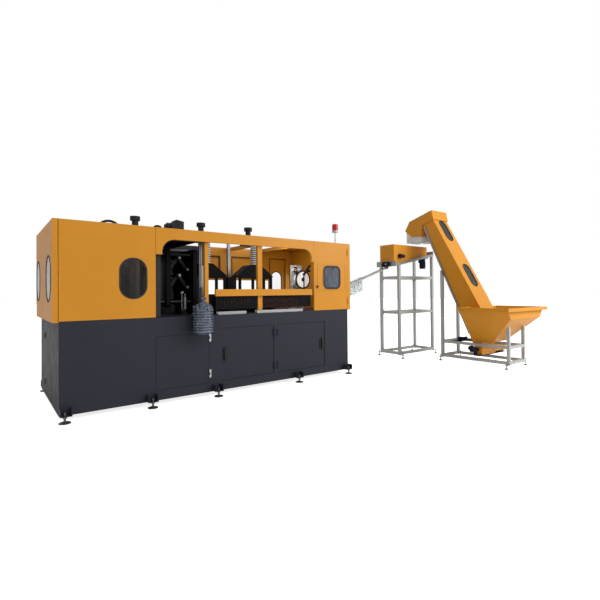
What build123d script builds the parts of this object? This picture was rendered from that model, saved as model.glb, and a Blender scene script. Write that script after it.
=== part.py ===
from build123d import *
import os
from math import atan, cos, degrees, radians, sin, sqrt, tan

# Stretch blow moulding machine for large water bottles, with its preform feeder line.
# Millimetres. While it is built, X runs right from the left front corner of the grey base,
# Y runs back from the front of the base and Z runs up from the floor.
# The last lines move every piece so that the origin is the middle of the footprint.

# Machine body
base_length = 4430.0
base_depth = 1780.0
base_height = 1050.0
foot_height = 65.0
guard_height = 1155.0
end_cover_depth = 60.0
sheet = 3.0
bed_thickness = 20.0
base_tube = 60.0
tube_wall = 4.0
running_gap = 0.3
shut_gap = 4.0

# Base doors, given from the left end of the base
door_height = 740.0
door_left_height = 685.0
door_bottom = 125.0
door_set_back = 8.0
door_return = 22.0
door_stop = 12.0
door_stop_y = 34.0
door_left_start = 1070.0
door_left_width = 730.0
door_middle_start = 2000.0
door_middle_width = 870.0
door_right_start = base_length - 1500.0
door_right_width = 965.0
hinge_length = 110.0
hinge_pin_radius = 4.0
hinge_barrel_radius = 7.0
hinge_leaf_width = 26.0
hinge_fit = 0.06
handle_length = 160.0
handle_width = 42.0
handle_depth = 26.0

# Levelling feet
foot_pad_radius = 62.0
foot_stem_radius = 13.0
foot_offset = 70.0
foot_inset = 50.0
foot_nut = 44.0
bracket_width = 120.0
bracket_height = 95.0
middle_foot_spots = (1010.0, 1905.0)

# Orange guarding
panel_left_width = 1072.0
guard_door_width = 758.0
header_end = base_length - guard_door_width
header_drop = 145.0
header_leg_drop = 345.0
header_leg_left = 80.0
header_leg_right = 38.0
arch_radius = 165.0
header_return = 45.0
oval_window_width = 333.0
oval_window_height = 508.0
oval_window_centre = 802.0
window_sill = 243.0
end_window_width = 455.0
end_window_height = 552.0
end_window_sill = 216.0
end_window_front = 360.0
end_window_back = base_depth - 290.0
seam = 7.0
grip_y = base_depth - 575.0
door_window_width = 350.0
door_window_height = 362.0
door_window_centre = header_end + 393.0
door_window_sill = 375.0
door_window_corner = 80.0
seal_width = 16.0
seal_depth = 14.0
pane = 5.0
rear_opening_start = base_length - 2050.0
rear_opening_end = base_length - 510.0
rear_opening_sill = 110.0
rear_opening_top = 545.0
rear_window_start = base_length - 445.0
rear_window_width = 272.0
rear_frame = 25.0
crossbar = 60.0
covered_roof_left = 1960.0
covered_roof_right = base_length - 790.0
roof_bar_x = base_length - 1450.0
roof_bore = 36.5

# Guard beam, its posts and the silver rails along the bed
beam_start = 1905.0
beam_bottom = 262.0
beam_height = 97.0
beam_depth = 40.0
post_one_start = 1760.0
post_one_width = 55.0
post_one_foot = 165.0
post_two_start = header_end - 1059.0
post_two_width = 80.0
post_depth = 50.0
rail_depth = 60.0
rail_height = 35.0
rail_wall = 5.0
rail_lift = 8.0

# Mould clamp
clamp_centre = 1045.0
clamp_front = 400.0
clamp_depth = 800.0
clamp_foot = 110.0
clamp_height = 830.0
clamp_plate = 60.0
platen_plate = 55.0
mould_depth = 190.0
mould_width = 420.0
mould_height = 640.0
mould_lift = 190.0
mould_stroke = 120.0
mould_closed_gap = 2.0
tie_bar_radius = 30.0
tie_bar_inset = 75.0
tie_bar_nut = 44.0
link_length = 210.0
link_angle_open = 55.0
link_width = 62.0
link_thickness = 34.0
link_pin_radius = 16.0
toggle_spread = 129.0
toggle_fork = 46.0
open_pivot_clearance = 9.0

# Bottle
bottle_radius = 135.0
bottle_height = 490.0
bottle_neck_radius = 27.5
bottle_wall = 3.0
bottle_x = 1645.0
bottle_y = -152.0
bottle_bottom = 885.0

# Stretch unit over the mould
stretch_rod_radius = 10.0
stretch_stroke = 370.0
stretch_rod_length = 430.0

# Oven
oven_pitch = 850.0
oven_first_centre = 1975.0
hood_width = 680.0
hood_top_width = 226.0
hood_depth = 200.0
hood_front = 460.0
hood_bottom = 560.0
hood_height = 190.0
duct_radius = 68.0
duct_rib = 7.0
duct_ribs = 10
duct_offset = 25.0
oven_post = 36.0
chain_centre_y = 820.0
chain_radius = 230.0
chain_start = 2190.0
chain_end = header_end - 242.0
chain_level = 130.0
chain_half = 14.0
chain_thickness = 26.0
spindle_radius = 15.0
spindle_count_side = 9
fan_setback = 800.0
fan_flange_radius = 68.0
fan_body_radius = 44.0
fan_height = 250.0
fan_flange_height = 58.0

# Feeder: chute, unscrambler and elevator, placed from the machine's corner
chute_y = 650.0
chute_gap = 50.0
chute_bar = 8.0
chute_bar_height = 34.0
chute_slope = 18.5
chute_low_x = base_length - 50.0
chute_low_z = 1318.0
chute_high_x = base_length + 1800.0
chute_plate = 12.0
preform_length = 262.0
preform_radius = 22.0
preform_flange_radius = 29.0
preform_pitch = 60.0
preform_count = 16
preform_last_x = base_length + 1030.0
stand_tube = 54.0
stand_wall = 3.0
gusset = 62.0
stand_foot_radius = 34.0
stand_foot_height = 68.0
stand_one_left = base_length + 1930.0
stand_one_right = base_length + 3100.0
stand_one_front = 420.0
stand_one_back = 905.0
stand_lug = 85.0
lug_thickness = 8.0
stand_low_rail = stand_foot_height + lug_thickness + stand_tube / 2
stand_shelf_low = 965.0
stand_shelf_high = 1722.0
roller_slope = 11.2
roller_frame_height = 112.0
roller_frame_start = base_length + 1800.0
roller_frame_end = base_length + 3140.0
roller_frame_level = 1956.0
roller_radius = 38.0
roller_gap = 46.0
roller_shaft = 12.0
bin_start = base_length + 1810.0
bin_end = base_length + 2962.0
bin_front = 450.0
bin_back = 832.0
bin_top = 2425.0
stand_two_left = base_length + 2450.0
stand_two_right = base_length + 3020.0
stand_two_front = -1630.0
stand_two_back = -280.0
stand_two_rail = 385.0
stand_two_back_height = 1790.0
stand_two_front_height = 690.0
elevator_width = 500.0
elevator_sheet = 4.0
tub_width = 1540.0
tub_front = -1870.0
tub_back = -905.0
tub_rim = 1112.0
tub_rim_width = 55.0
tub_lip = 190.0
tub_floor = 455.0
tub_mouth_front = -1330.0
tub_mouth_back = -905.0

# Heights and places that follow from the sizes above
base_top = foot_height + base_height
guard_top = base_top + guard_height
bed_z = base_top
header_bottom = guard_top - header_drop
elevator_x = (stand_two_left + stand_two_right) / 2
casing_left = elevator_x - elevator_width / 2
casing_right = elevator_x + elevator_width / 2


def block(x0, x1, y0, y1, z0, z1):
    """Box from its lowest to its highest corner."""
    centre = Pos((x0 + x1) / 2, (y0 + y1) / 2, (z0 + z1) / 2)
    return centre * Box(x1 - x0, y1 - y0, z1 - z0)


def rod_x(x0, x1, y, z, radius):
    return Pos((x0 + x1) / 2, y, z) * Rot(0, 90, 0) * Cylinder(radius, x1 - x0)


def rod_y(x, y0, y1, z, radius):
    return Pos(x, (y0 + y1) / 2, z) * Rot(90, 0, 0) * Cylinder(radius, y1 - y0)


def rod_z(x, y, z0, z1, radius):
    return Pos(x, y, (z0 + z1) / 2) * Cylinder(radius, z1 - z0)


def front_sheet(sketch, y, thickness):
    """Sheet in the XZ plane: the sketch's first axis is X and its second is Z."""
    return Pos(0, y, 0) * extrude(Plane.XZ * sketch, -thickness)


def side_sheet(sketch, x, thickness):
    """Sheet in the YZ plane: the sketch's first axis is Y and its second is Z."""
    return Pos(x, 0, 0) * extrude(Plane.YZ * sketch, thickness)


def rectangle(a0, a1, b0, b1):
    return Pos((a0 + a1) / 2, (b0 + b1) / 2) * Rectangle(a1 - a0, b1 - b0)


def rounded(centre, sill, width, height, corner):
    """Window outline with rounded corners, standing on its sill."""
    return Pos(centre, sill + height / 2) * RectangleRounded(width, height, corner)


def join(pieces):
    """One solid from pieces that are welded together."""
    whole = pieces[0]
    for piece in pieces[1:]:
        whole = whole + piece
    return whole


def group(pieces):
    """Separate solids that share a node."""
    solids = []
    for piece in pieces:
        solids.extend(piece.solids())
    return Compound(children=solids)


def tube_frame(bars, wall):
    """Welded frame of square tubes. Each bar is the six limits of its outside."""
    outside = []
    inside = []
    reach = wall + 1
    for x0, x1, y0, y1, z0, z1 in bars:
        outside.append(block(x0, x1, y0, y1, z0, z1))
        spans = (x1 - x0, y1 - y0, z1 - z0)
        longest = spans.index(max(spans))
        limits = [x0 + wall, x1 - wall, y0 + wall, y1 - wall, z0 + wall, z1 - wall]
        limits[2 * longest] -= wall + reach
        limits[2 * longest + 1] += wall + reach
        inside.append(block(*limits))
    return (Part() + outside) - inside


def bolt_head(x, y, z, radius, height):
    return Pos(x, y, z + height / 2) * extrude(RegularPolygon(radius, 6), height / 2, both=True)


# Machine body

def foot_positions():
    """Levelling feet of the base: five along the front and five along the back."""
    spots = [foot_inset, *middle_foot_spots, door_right_start + 370, base_length - foot_inset]
    front = [(x, -foot_offset) for x in spots]
    back = [(x, base_depth + foot_offset) for x in spots]
    return front + back


def tubes(bars, wall):
    """Square tubes that butt against each other, each open at its ends."""
    return [tube_frame([bar], wall) for bar in bars]


def make_base_frame():
    """Square tube frame with a bracket above each levelling foot."""
    t = base_tube
    skin = sheet
    low, high = foot_height, base_top - bed_thickness
    front, back = skin, base_depth - skin
    left, right = skin, base_length - skin
    slim = door_right_start - door_middle_start - door_middle_width - 4 * sheet
    posts = [(left, t), (right - t, t), (door_right_start - 2 * sheet - slim, slim)]
    posts += [(spot - t / 4, t) for spot in middle_foot_spots]
    bars = []
    for z in (low, high - t):
        bars.append((left, right, front, front + t, z, z + t))
        bars.append((left, right, back - t, back, z, z + t))
        for x, width in posts:
            bars.append((x, x + width, front + t, back - t, z, z + t))
    for x, width in posts:
        bars.append((x, x + width, front, front + t, low + t, high - t))
        bars.append((x, x + width, back - t, back, low + t, high - t))
    pieces = tubes(bars, tube_wall)
    for x, y in foot_positions():
        pieces.append(foot_bracket(x, y))
    return group(pieces)


def foot_bracket(x, y):
    """Open bracket of three plates and a shelf that carries one foot outside the base panels."""
    outward = -1 if y < 0 else 1
    wall_y = 0 if y < 0 else base_depth
    tip = y + outward * foot_pad_radius * 0.6
    plate = 10
    shelf_bottom = foot_height + plate
    shelf_top = shelf_bottom + plate
    y0, y1 = min(wall_y, tip), max(wall_y, tip)
    near = sorted((wall_y, wall_y + outward * plate))
    centre = min(max(x, bracket_width / 2), base_length - bracket_width / 2)
    x0, x1 = centre - bracket_width / 2, centre + bracket_width / 2
    shelf = block(x0, x1, y0, y1, shelf_bottom, shelf_top)
    upright = block(x0, x1, near[0], near[1], shelf_bottom, foot_height + bracket_height)
    bracket = shelf + upright
    for rib in (x0, x1 - plate):
        bracket = bracket + block(rib, rib + plate, y0, y1, shelf_bottom, foot_height + bracket_height)
    return bracket - rod_z(x, y, foot_height, shelf_top + 1, foot_stem_radius + 1)


def levelling_foot(x, y, pad_radius, stem_radius, seat, nut, stem_top):
    """Round pad with a domed top, a stem through its lug and a nut under the lug."""
    pad = Pos(x, y, 0) * Cylinder(pad_radius, 10, align=(Align.CENTER, Align.CENTER, Align.MIN))
    dome = Pos(x, y, 10) * Cone(pad_radius * 0.9, stem_radius * 1.5, 14,
                                align=(Align.CENTER, Align.CENTER, Align.MIN))
    stem = rod_z(x, y, 20, stem_top, stem_radius)
    lock = Pos(x, y, seat - nut * 0.4) * extrude(RegularPolygon(nut / 2, 6), nut * 0.4)
    return pad + dome + stem + lock


def make_levelling_feet():
    feet = []
    seat = foot_height + 10
    for x, y in foot_positions():
        feet.append(levelling_foot(x, y, foot_pad_radius, foot_stem_radius, seat, foot_nut, seat + 45))
    for x, y, lug in stand_feet():
        feet.append(levelling_foot(x, y, stand_foot_radius, 7, stand_foot_height, 24, stand_foot_height + 70))
    return group(feet)


def stand_feet():
    """Foot positions of the two feeder stands, with the direction of each lug."""
    spots = []
    for x in (stand_one_left, stand_one_right):
        spots.append((x, stand_one_front - stand_lug, (0, -1)))
        spots.append((x, stand_one_back + stand_lug, (0, 1)))
    for y in (stand_two_front, stand_two_back):
        spots.append((stand_two_left - stand_lug, y, (-1, 0)))
        spots.append((stand_two_right + stand_lug, y, (1, 0)))
    return spots


def make_machine_bed():
    return block(0, base_length, 0, base_depth, base_top - bed_thickness, base_top)


def door_limits():
    """Start, end, bottom and top of the opening of each base door."""
    bottom = foot_height + door_bottom
    top = bottom + door_height
    left_top = bottom + door_left_height
    return {"left": (door_left_start, door_left_start + door_left_width, bottom, left_top),
            "middle": (door_middle_start, door_middle_start + door_middle_width, bottom, top),
            "right": (door_right_start, door_right_start + door_right_width, bottom, top)}


def door_stops(x0, x1, z0, z1):
    """Four angle strips round a door opening. They shut the gap round the door from behind."""
    back = door_stop_y + sheet
    strips = []
    for edge, way in ((z0, -1), (z1, 1)):
        a, b = sorted((edge, edge + way * sheet))
        c, d = sorted((edge + way * sheet, edge - way * door_stop))
        strips.append(block(x0 - sheet, x1 + sheet, sheet, back, a, b) + block(x0, x1, door_stop_y, back, c, d))
    for edge, way in ((x0, -1), (x1, 1)):
        a, b = sorted((edge, edge + way * sheet))
        c, d = sorted((edge + way * sheet, edge - way * door_stop))
        strips.append(block(a, b, sheet, back, z0, z1)
                      + block(c, d, door_stop_y, back, z0 + door_stop, z1 - door_stop))
    return strips


def make_base_panels():
    """Sheet fields of the base round the door openings, stops behind the doors, and grips in the ends."""
    top = base_top - bed_thickness
    limits = door_limits()
    x_left0, x_left1, low, left_high = limits["left"]
    x_middle0, x_middle1, low, high = limits["middle"]
    x_right0, x_right1, low, high = limits["right"]
    fields = [(0, base_length, foot_height, low), (0, base_length, high, top), (0, x_left0, low, high),
              (x_left1, x_middle0, low, high), (x_middle1, x_right0, low, high), (x_right1, base_length, low, high),
              (x_left0, x_left1, left_high, high)]
    front = [front_sheet(rectangle(*field), 0, sheet) for field in fields]
    for door in limits.values():
        front += door_stops(*door)
    back = front_sheet(rectangle(0, base_length, foot_height, top), base_depth - sheet, sheet)
    for start in (300, 1500, 2700):
        for row in range(6):
            z = foot_height + 300 + row * 40
            back = back - block(start, start + 320, base_depth - sheet - 1, base_depth + 1, z, z + 12)
    ends = []
    for x in (0, base_length - sheet):
        end = side_sheet(rectangle(sheet, base_depth - sheet, foot_height, top), x, sheet)
        for z in (foot_height + 165, foot_height + 790):
            grip = Pos(x, grip_y, z + 30) * Rot(0, 90, 0) * extrude(SlotOverall(90, 46), 40, both=True)
            end = end - grip
        ends.append(end)
    return group(front + [back] + ends + fixed_leaves("middle") + fixed_leaves("right"))


def make_air_receiver():
    """High pressure air tank with dished ends, lying on two saddles inside the base."""
    radius = 190
    x0, x1 = 1180, 1760
    y, z = 900, foot_height + base_tube + radius + 60
    profile = Polyline((x0 - 90, 0), (x0 - 78, 80), (x0 - 40, 155), (x0, radius), (x1, radius),
                       (x1 + 40, 155), (x1 + 78, 80), (x1 + 90, 0), close=True)
    tank = revolve(make_face(profile), Axis.X)
    tank = Pos(0, y, z) * tank
    pieces = [tank]
    floor = foot_height
    for x in (x0 + 80, x1 - 140):
        saddle = block(x, x + 60, y - 150, y + 150, floor + base_tube, z - 60)
        pieces.append(saddle - rod_x(x - 1, x + 61, y, z, radius - 4))
        pieces.append(block(x - 20, x + 80, sheet + base_tube - 10, base_depth - base_tube - sheet + 10,
                            floor + base_tube, floor + base_tube + 8))
    neck = rod_z(x0 + 300, y, z + radius - 10, z + radius + 60, 26)
    return join(pieces + [neck])


# Orange guarding

def cover_shell(x0, x1, open_side):
    """Folded end cover: an outer sheet with its four edges turned in."""
    outer = block(x0, x1, 0, base_depth, base_top - 8, guard_top)
    low = x0 + sheet if open_side > 0 else x0 - 1
    high = x1 + 1 if open_side > 0 else x1 - sheet
    inner = block(low, high, sheet, base_depth - sheet, base_top - 8 + sheet, guard_top - sheet)
    return outer - inner


def end_window(centre):
    return rounded(centre, base_top + end_window_sill, end_window_width, end_window_height,
                   end_window_width / 2 - 2)


def make_end_covers():
    covers = []
    left = cover_shell(-end_cover_depth, 0, 1) - block(-seam, 1, -1, header_return, base_top + sheet, guard_top - sheet)
    right = cover_shell(base_length, base_length + end_cover_depth + 8, -1)
    right = right - block(base_length - 1, base_length + shut_gap, -1, door_return + 2 * shut_gap, base_top,
                          guard_top + 1)
    for centre in (end_window_front, end_window_back):
        left = left - side_sheet(end_window(centre), -end_cover_depth - 1, sheet + 2)
        right = right - side_sheet(end_window(centre), base_length + end_cover_depth + 4, sheet + 2)
    inlet = block(base_length, base_length + 2 * end_cover_depth, chute_y - 85, chute_y + 85,
                  base_top + 12, base_top + 400)
    covers.append(left)
    covers.append(right - inlet)
    leaves = [door_hinge(guard_door_end, z, 1, 0)[0] for z in guard_hinge_heights]
    return group(covers + leaves)


def make_front_panel_left():
    z0 = base_top + 5
    panel = front_sheet(rectangle(0, panel_left_width, z0, guard_top), 0, sheet)
    window = rounded(oval_window_centre, base_top + window_sill, oval_window_width, oval_window_height,
                     oval_window_width / 2 - 6)
    panel = panel - front_sheet(window, -1, sheet + 2)
    returns = [block(0, sheet, 0, header_return, z0, guard_top),
               block(panel_left_width - sheet, panel_left_width, 0, header_return, z0, guard_top),
               block(0, panel_left_width, 0, header_return, guard_top - sheet, guard_top),
               block(0, panel_left_width, 0, header_return, z0, z0 + sheet),
               block(panel_left_width - 12, panel_left_width, 0, header_return, z0, header_bottom - 200)]
    return join([panel] + returns)


def header_opening(grow):
    """Arched opening of the front, widened by grow all round."""
    x0 = panel_left_width + shut_gap + header_leg_left - grow
    x1 = header_end - header_leg_right + grow
    tall = 2 * header_leg_drop
    return Pos((x0 + x1) / 2, header_bottom + grow - tall / 2) * RectangleRounded(x1 - x0, tall,
                                                                                   arch_radius + grow)


def make_header_fascia():
    """Arched header of the front, with a folded return round the opening and along the top."""
    x0, x1 = panel_left_width + shut_gap, header_end
    z0 = guard_top - header_leg_drop
    area = rectangle(x0, x1, z0, guard_top)
    face = front_sheet(area - header_opening(0), 0, sheet)
    lip = front_sheet(area & (header_opening(sheet) - header_opening(0)), 0, header_return)
    top = block(x0, x1, 0, header_return, guard_top - sheet, guard_top)
    return join([face, lip, top])


def make_rear_wall():
    """Orange back wall: a sheet on a frame that leaves recessed fields, an opening and a window."""
    x0, x1 = 0, base_length
    y1 = base_depth
    area = rectangle(x0, x1, base_top + 5, guard_top)
    opening = rectangle(rear_opening_start, rear_opening_end, base_top + rear_opening_sill,
                        base_top + rear_opening_top)
    window = rounded(rear_window_start + rear_window_width / 2, base_top + window_sill, rear_window_width,
                     oval_window_height - 14, rear_window_width / 2 - 4)
    wall = front_sheet(area - opening - window, y1 - sheet, sheet)
    frame_area = area - opening
    z_low, z_high = base_top + 600, guard_top - 160
    end = base_length
    for a, b in ((end - 2110, end - 1590), (end - 1348, end - 730)):
        frame_area = frame_area - rectangle(a, b, z_low, z_high)
    frame_area = frame_area - rectangle(end - 495, end - 100, base_top + 90, z_high)
    for a, b in ((60, 700), (780, 1500), (1580, 2240)):
        frame_area = frame_area - rectangle(a, b, base_top + 90, z_high)
    frame = front_sheet(frame_area, y1 - sheet - rear_frame, rear_frame)
    return wall + frame


def make_roof_panels():
    """Two folded roof sheets and the crossbars that carry them over the open oven bay."""
    low = guard_top - sheet
    y0, y1 = header_return, base_depth - sheet - rear_frame
    t = crossbar
    bars = []
    for x in (covered_roof_left - t, roof_bar_x, covered_roof_right):
        bars.append(block(x, x + t, y0 + running_gap, y1, low - t, low))
    left = block(0, covered_roof_left, y0, y1, low, guard_top)
    left = left - rod_z(clamp_centre, clamp_front + clamp_depth / 2, low - 1, guard_top + 1, roof_bore)
    right = block(covered_roof_right, base_length, y0, y1, low, guard_top)
    pieces = []
    for piece in (left + bars[0], bars[1], right + bars[2]):
        for x0, x1, ya, yb in plenum_limits():
            piece = piece - block(x0, x1, ya, yb, low - t - 1, guard_top + 1)
        pieces.append(piece)
    return group(pieces)


def make_guard_beam():
    """Orange posts and the horizontal beam across the oven bay."""
    z_beam = base_top + beam_bottom
    post_one = block(post_one_start, post_one_start + post_one_width, header_return, header_return + post_depth,
                     base_top + post_one_foot, guard_top - sheet)
    post_two = block(post_two_start, post_two_start + post_two_width, header_return, header_return + post_depth,
                     base_top + rail_lift + rail_height, guard_top - sheet)
    beam = block(beam_start, header_end - header_leg_right, header_return - beam_depth, header_return,
                 z_beam, z_beam + beam_height)
    foot = block(post_one_start, post_one_start + post_one_width, header_return, header_return + 130,
                 base_top + post_one_foot, base_top + post_one_foot + 50)
    leg = block(post_one_start, post_one_start + post_one_width, header_return + 85, header_return + 130,
                base_top, base_top + post_one_foot)
    return group([post_one + foot + leg, post_two + beam])


front_rail_spans = ((1580.0, 1700.0), (1936.0, 2392.0), (2572.0, header_end - 231))


def make_front_rails():
    """Pale channel rails along the front of the bed, on low packers."""
    rails = []
    z0 = base_top + rail_lift
    for x0, x1 in front_rail_spans:
        outer = block(x0, x1, 6, 6 + rail_depth, z0, z0 + rail_height)
        slot = block(x0 - 1, x1 + 1, 6 + rail_wall, 6 + rail_depth - rail_wall, z0 + rail_wall, z0 + rail_height + 1)
        packer = block(x0 + 15, x1 - 15, 14, rail_depth - 8, base_top, z0)
        rails.append(outer - slot + packer)
    return group(rails)


def window_frames():
    """Every window of the root body: a function that lays a ring or a pane at each."""
    sill = base_top + window_sill
    front = (oval_window_centre, sill, oval_window_width, oval_window_height, oval_window_width / 2 - 6)
    rear = (rear_window_start + rear_window_width / 2, sill, rear_window_width, oval_window_height - 14,
            rear_window_width / 2 - 4)
    return front, rear


def seal_ring(outline, grow):
    centre, sill, width, height, corner = outline
    outer = rounded(centre, sill - grow, width + 2 * grow, height + 2 * grow, corner + grow)
    inner = rounded(centre, sill + seal_width - grow, width - 2 * seal_width + 2 * grow,
                    height - 2 * seal_width + 2 * grow, corner - seal_width + grow)
    return outer - inner


def make_window_seals():
    """Black rubber profiles round the windows, flush in the sheet and proud on both sides."""
    front, rear = window_frames()
    seals = []
    for outline, y in ((front, 0), (rear, base_depth - sheet)):
        seals.append(front_sheet(seal_ring(outline, -running_gap), y - 5, seal_depth))
    for centre in (end_window_front, end_window_back):
        outline = (centre, base_top + end_window_sill, end_window_width, end_window_height,
                   end_window_width / 2 - 2)
        seals.append(side_sheet(seal_ring(outline, -running_gap), -end_cover_depth - 5, seal_depth))
        seals.append(side_sheet(seal_ring(outline, -running_gap), base_length + end_cover_depth + 8 + 5 - seal_depth,
                                seal_depth))
    return group(seals)


def pane_outline(outline):
    centre, sill, width, height, corner = outline
    cut = seal_width + running_gap
    return rounded(centre, sill + cut, width - 2 * cut, height - 2 * cut, corner - cut)


def make_window_panes():
    front, rear = window_frames()
    panes = []
    for outline, y in ((front, 0), (rear, base_depth - sheet)):
        panes.append(front_sheet(pane_outline(outline), y, pane))
    for centre in (end_window_front, end_window_back):
        outline = (centre, base_top + end_window_sill, end_window_width, end_window_height,
                   end_window_width / 2 - 2)
        panes.append(side_sheet(pane_outline(outline), -end_cover_depth, pane))
        panes.append(side_sheet(pane_outline(outline), base_length + end_cover_depth + 3, pane))
    return group(panes)


# Doors of the base and of the guarding

hinge_axis_y = -(hinge_barrel_radius + 1)


def door_hinge(axis_x, z_mid, away, face_y):
    """Butt hinge on the front. away is 1 where the fixed leaf lies right of the pin, else -1.

    Returns the fixed leaf with its pin and the moving leaf, both ready to join their sheets."""
    third = hinge_length / 3
    z0 = z_mid - hinge_length / 2
    pin = rod_z(axis_x, hinge_axis_y, z0, z0 + hinge_length, hinge_pin_radius)
    fixed = [pin]
    clear = hinge_barrel_radius + 2
    far = sorted((axis_x + away * clear, axis_x + away * hinge_leaf_width))
    fixed.append(block(far[0], far[1], -sheet, 0, z0, z0 + hinge_length))
    for start in (z0, z0 + 2 * third):
        fixed.append(rod_z(axis_x, hinge_axis_y, start, start + third, hinge_barrel_radius))
        near = sorted((axis_x, axis_x + away * (clear + 1)))
        fixed.append(block(near[0], near[1], -sheet, 0, start, start + third))
    gap = running_gap + 0.2
    knuckle = rod_z(axis_x, hinge_axis_y, z0 + third + gap, z0 + 2 * third - gap, hinge_barrel_radius)
    leaf = sorted((axis_x - away * 0.5, axis_x - away * hinge_leaf_width))
    moving = knuckle + block(leaf[0], leaf[1], -sheet, face_y, z0 + third + gap, z0 + 2 * third - gap)
    bore = rod_z(axis_x, hinge_axis_y, z0, z0 + hinge_length, hinge_pin_radius + hinge_fit)
    return join(fixed), moving - bore


def door_sheet(x0, x1, z0, z1, face_y):
    """Sheet door with its four edges turned in."""
    a, b = x0 + shut_gap, x1 - shut_gap
    c, d = z0 + shut_gap, z1 - shut_gap
    outer = block(a, b, face_y, face_y + door_return, c, d)
    inner = block(a + sheet, b - sheet, face_y + sheet, face_y + door_return + 1, c + sheet, d - sheet)
    return outer - inner


def door_hinges(name):
    """Hinge line, side and hinge heights of one base door."""
    x0, x1, z0, z1 = door_limits()[name]
    away = -1 if name == "right" else 1
    axis_x = x0 if away < 0 else x1
    face_y = 0 if name == "left" else door_set_back
    heights = (z0 + 128, z1 - 62) if name == "left" else (z0 + 120, z1 - 120)
    return axis_x, away, face_y, heights


def make_base_door(name):
    x0, x1, z0, z1 = door_limits()[name]
    axis_x, away, face_y, heights = door_hinges(name)
    door = door_sheet(x0, x1, z0, z1, face_y)
    for z in heights:
        door = door + door_hinge(axis_x, z, away, face_y)[1]
    if name != "left":
        door = door + handle_plate(name)
    else:
        lock_x = x0 + shut_gap + 40
        door = door + rod_y(lock_x, -6, 1, z1 - 60, 14)
    return door


def handle_place(name):
    """Middle of a handle across the door, its pin height and the face it lies on."""
    x0, x1, z0, z1 = door_limits()[name]
    x = x0 + 45 if name == "middle" else x1 - 55
    return x, foot_height + 575, door_set_back


def handle_plate(name):
    """Back plate of a lever handle, with the two ears that hold its pin."""
    x, top, face = handle_place(name)
    half = handle_width / 2
    ear = 4
    plate = block(x - half - ear - 3, x + half + ear + 3, face - 3, face + 1, top - handle_length, top + 18)
    for side in (-1, 1):
        inner = x + side * (half + running_gap)
        outer = inner + side * ear
        a, b = sorted((inner, outer))
        plate = plate + block(a, b, face - handle_depth, face - 2, top - 9, top + 9)
    pin = rod_x(x - half - running_gap - ear, x + half + running_gap + ear, face - handle_depth + 9, top, 4)
    return plate + pin


def make_door_handle(name):
    """Lever that hangs on the pin of its back plate and lifts outwards."""
    x, top, face = handle_place(name)
    half = handle_width / 2
    pin_y = face - handle_depth + 9
    side = Polyline((pin_y - 8, top + 8), (pin_y + 8, top + 8), (pin_y + 8, top - 20),
                    (pin_y + 5, top - handle_length + 30), (pin_y - 3, top - handle_length + 12),
                    (pin_y - 11, top - handle_length + 12), (pin_y - 8, top - 20), close=True)
    lever = Pos(x - half, 0, 0) * extrude(Plane.YZ * make_face(side), handle_width)
    bore = rod_x(x - half - 1, x + half + 1, pin_y, top, 4 + hinge_fit)
    return lever - bore


guard_door_start = header_end
guard_door_end = base_length + shut_gap
guard_door_low = base_top + 1
guard_hinge_heights = (base_top + 150, guard_top - 150)
knob_x = header_end + 63.0
knob_z = base_top + 399.0
knob_radius = 17.0


def guard_window():
    return (door_window_centre, base_top + door_window_sill, door_window_width, door_window_height,
            door_window_corner)


def make_guard_door():
    """Orange sheet door over the preform infeed, with a pressed window frame."""
    door = door_sheet(guard_door_start, guard_door_end, guard_door_low, guard_top + shut_gap, 0)
    centre, sill, width, height, corner = guard_window()
    border = 32
    frame = rounded(centre, sill - border, width + 2 * border, height + 2 * border, corner + border)
    door = door + front_sheet(frame, -6, 7)
    door = door - front_sheet(rounded(centre, sill, width, height, corner), -7, 20)
    for z in guard_hinge_heights:
        door = door + door_hinge(guard_door_end, z, 1, 0)[1]
    return door - rod_y(knob_x, -1, sheet + 1, knob_z, 6 + hinge_fit)


def make_guard_door_pane():
    centre, sill, width, height, corner = guard_window()
    pane_face = rounded(centre, sill - 12, width + 24, height + 24, corner + 12)
    lip = rounded(centre, sill + running_gap, width - 2 * running_gap, height - 2 * running_gap,
                  corner - running_gap)
    return front_sheet(pane_face, sheet, pane) + front_sheet(lip, -3, sheet + 3)


def make_guard_door_knob():
    """Turn knob with its shaft through the door and a cam behind it."""
    head = rod_y(knob_x, -26, -0.5, knob_z, knob_radius)
    grip = block(knob_x - 4, knob_x + 4, -36, -25, knob_z - knob_radius + 1, knob_z + knob_radius - 1)
    shaft = rod_y(knob_x, -1, sheet + 8, knob_z, 6)
    cam = block(knob_x - 42, knob_x + 9, sheet + 1, sheet + 7, knob_z - 9, knob_z + 9)
    return join([head, grip, shaft, cam])


def fixed_leaves(name):
    """Fixed leaves and pins of one base door."""
    axis_x, away, face_y, heights = door_hinges(name)
    return [door_hinge(axis_x, z, away, face_y)[0] for z in heights]


def make_door_hinge_leaves():
    """Bright leaves of the left door. Those of the other doors are painted with their panels."""
    return group(fixed_leaves("left"))


# Mould clamp: plates on four tie bars, closed by two pairs of toggle links

clamp_y = clamp_front + clamp_depth / 2
clamp_low = base_top + clamp_foot
clamp_high = clamp_low + clamp_height
link_reach = 2 * link_length * cos(radians(link_angle_open))
link_rise = link_length * sin(radians(link_angle_open))
pivot_stand_off = 40.0
platen_stand_off = 52.0
fixed_face = clamp_centre - mould_closed_gap / 2 - mould_depth
moving_mould_face = clamp_centre + mould_closed_gap / 2 + mould_stroke
platen_face = moving_mould_face + mould_depth
platen_back = platen_face + platen_plate
toggle_platen_x = platen_back + platen_stand_off
toggle_plate_x = toggle_platen_x + link_reach
toggle_plate_face = toggle_plate_x + pivot_stand_off
toggle_mid = clamp_low + clamp_height / 2
toggle_levels = {"upper": toggle_mid + toggle_spread, "lower": toggle_mid - toggle_spread}
outer_links = (clamp_front + 150, clamp_front + clamp_depth - 150 - link_thickness)
lug = 20.0
side_gap = 1.0


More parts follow.
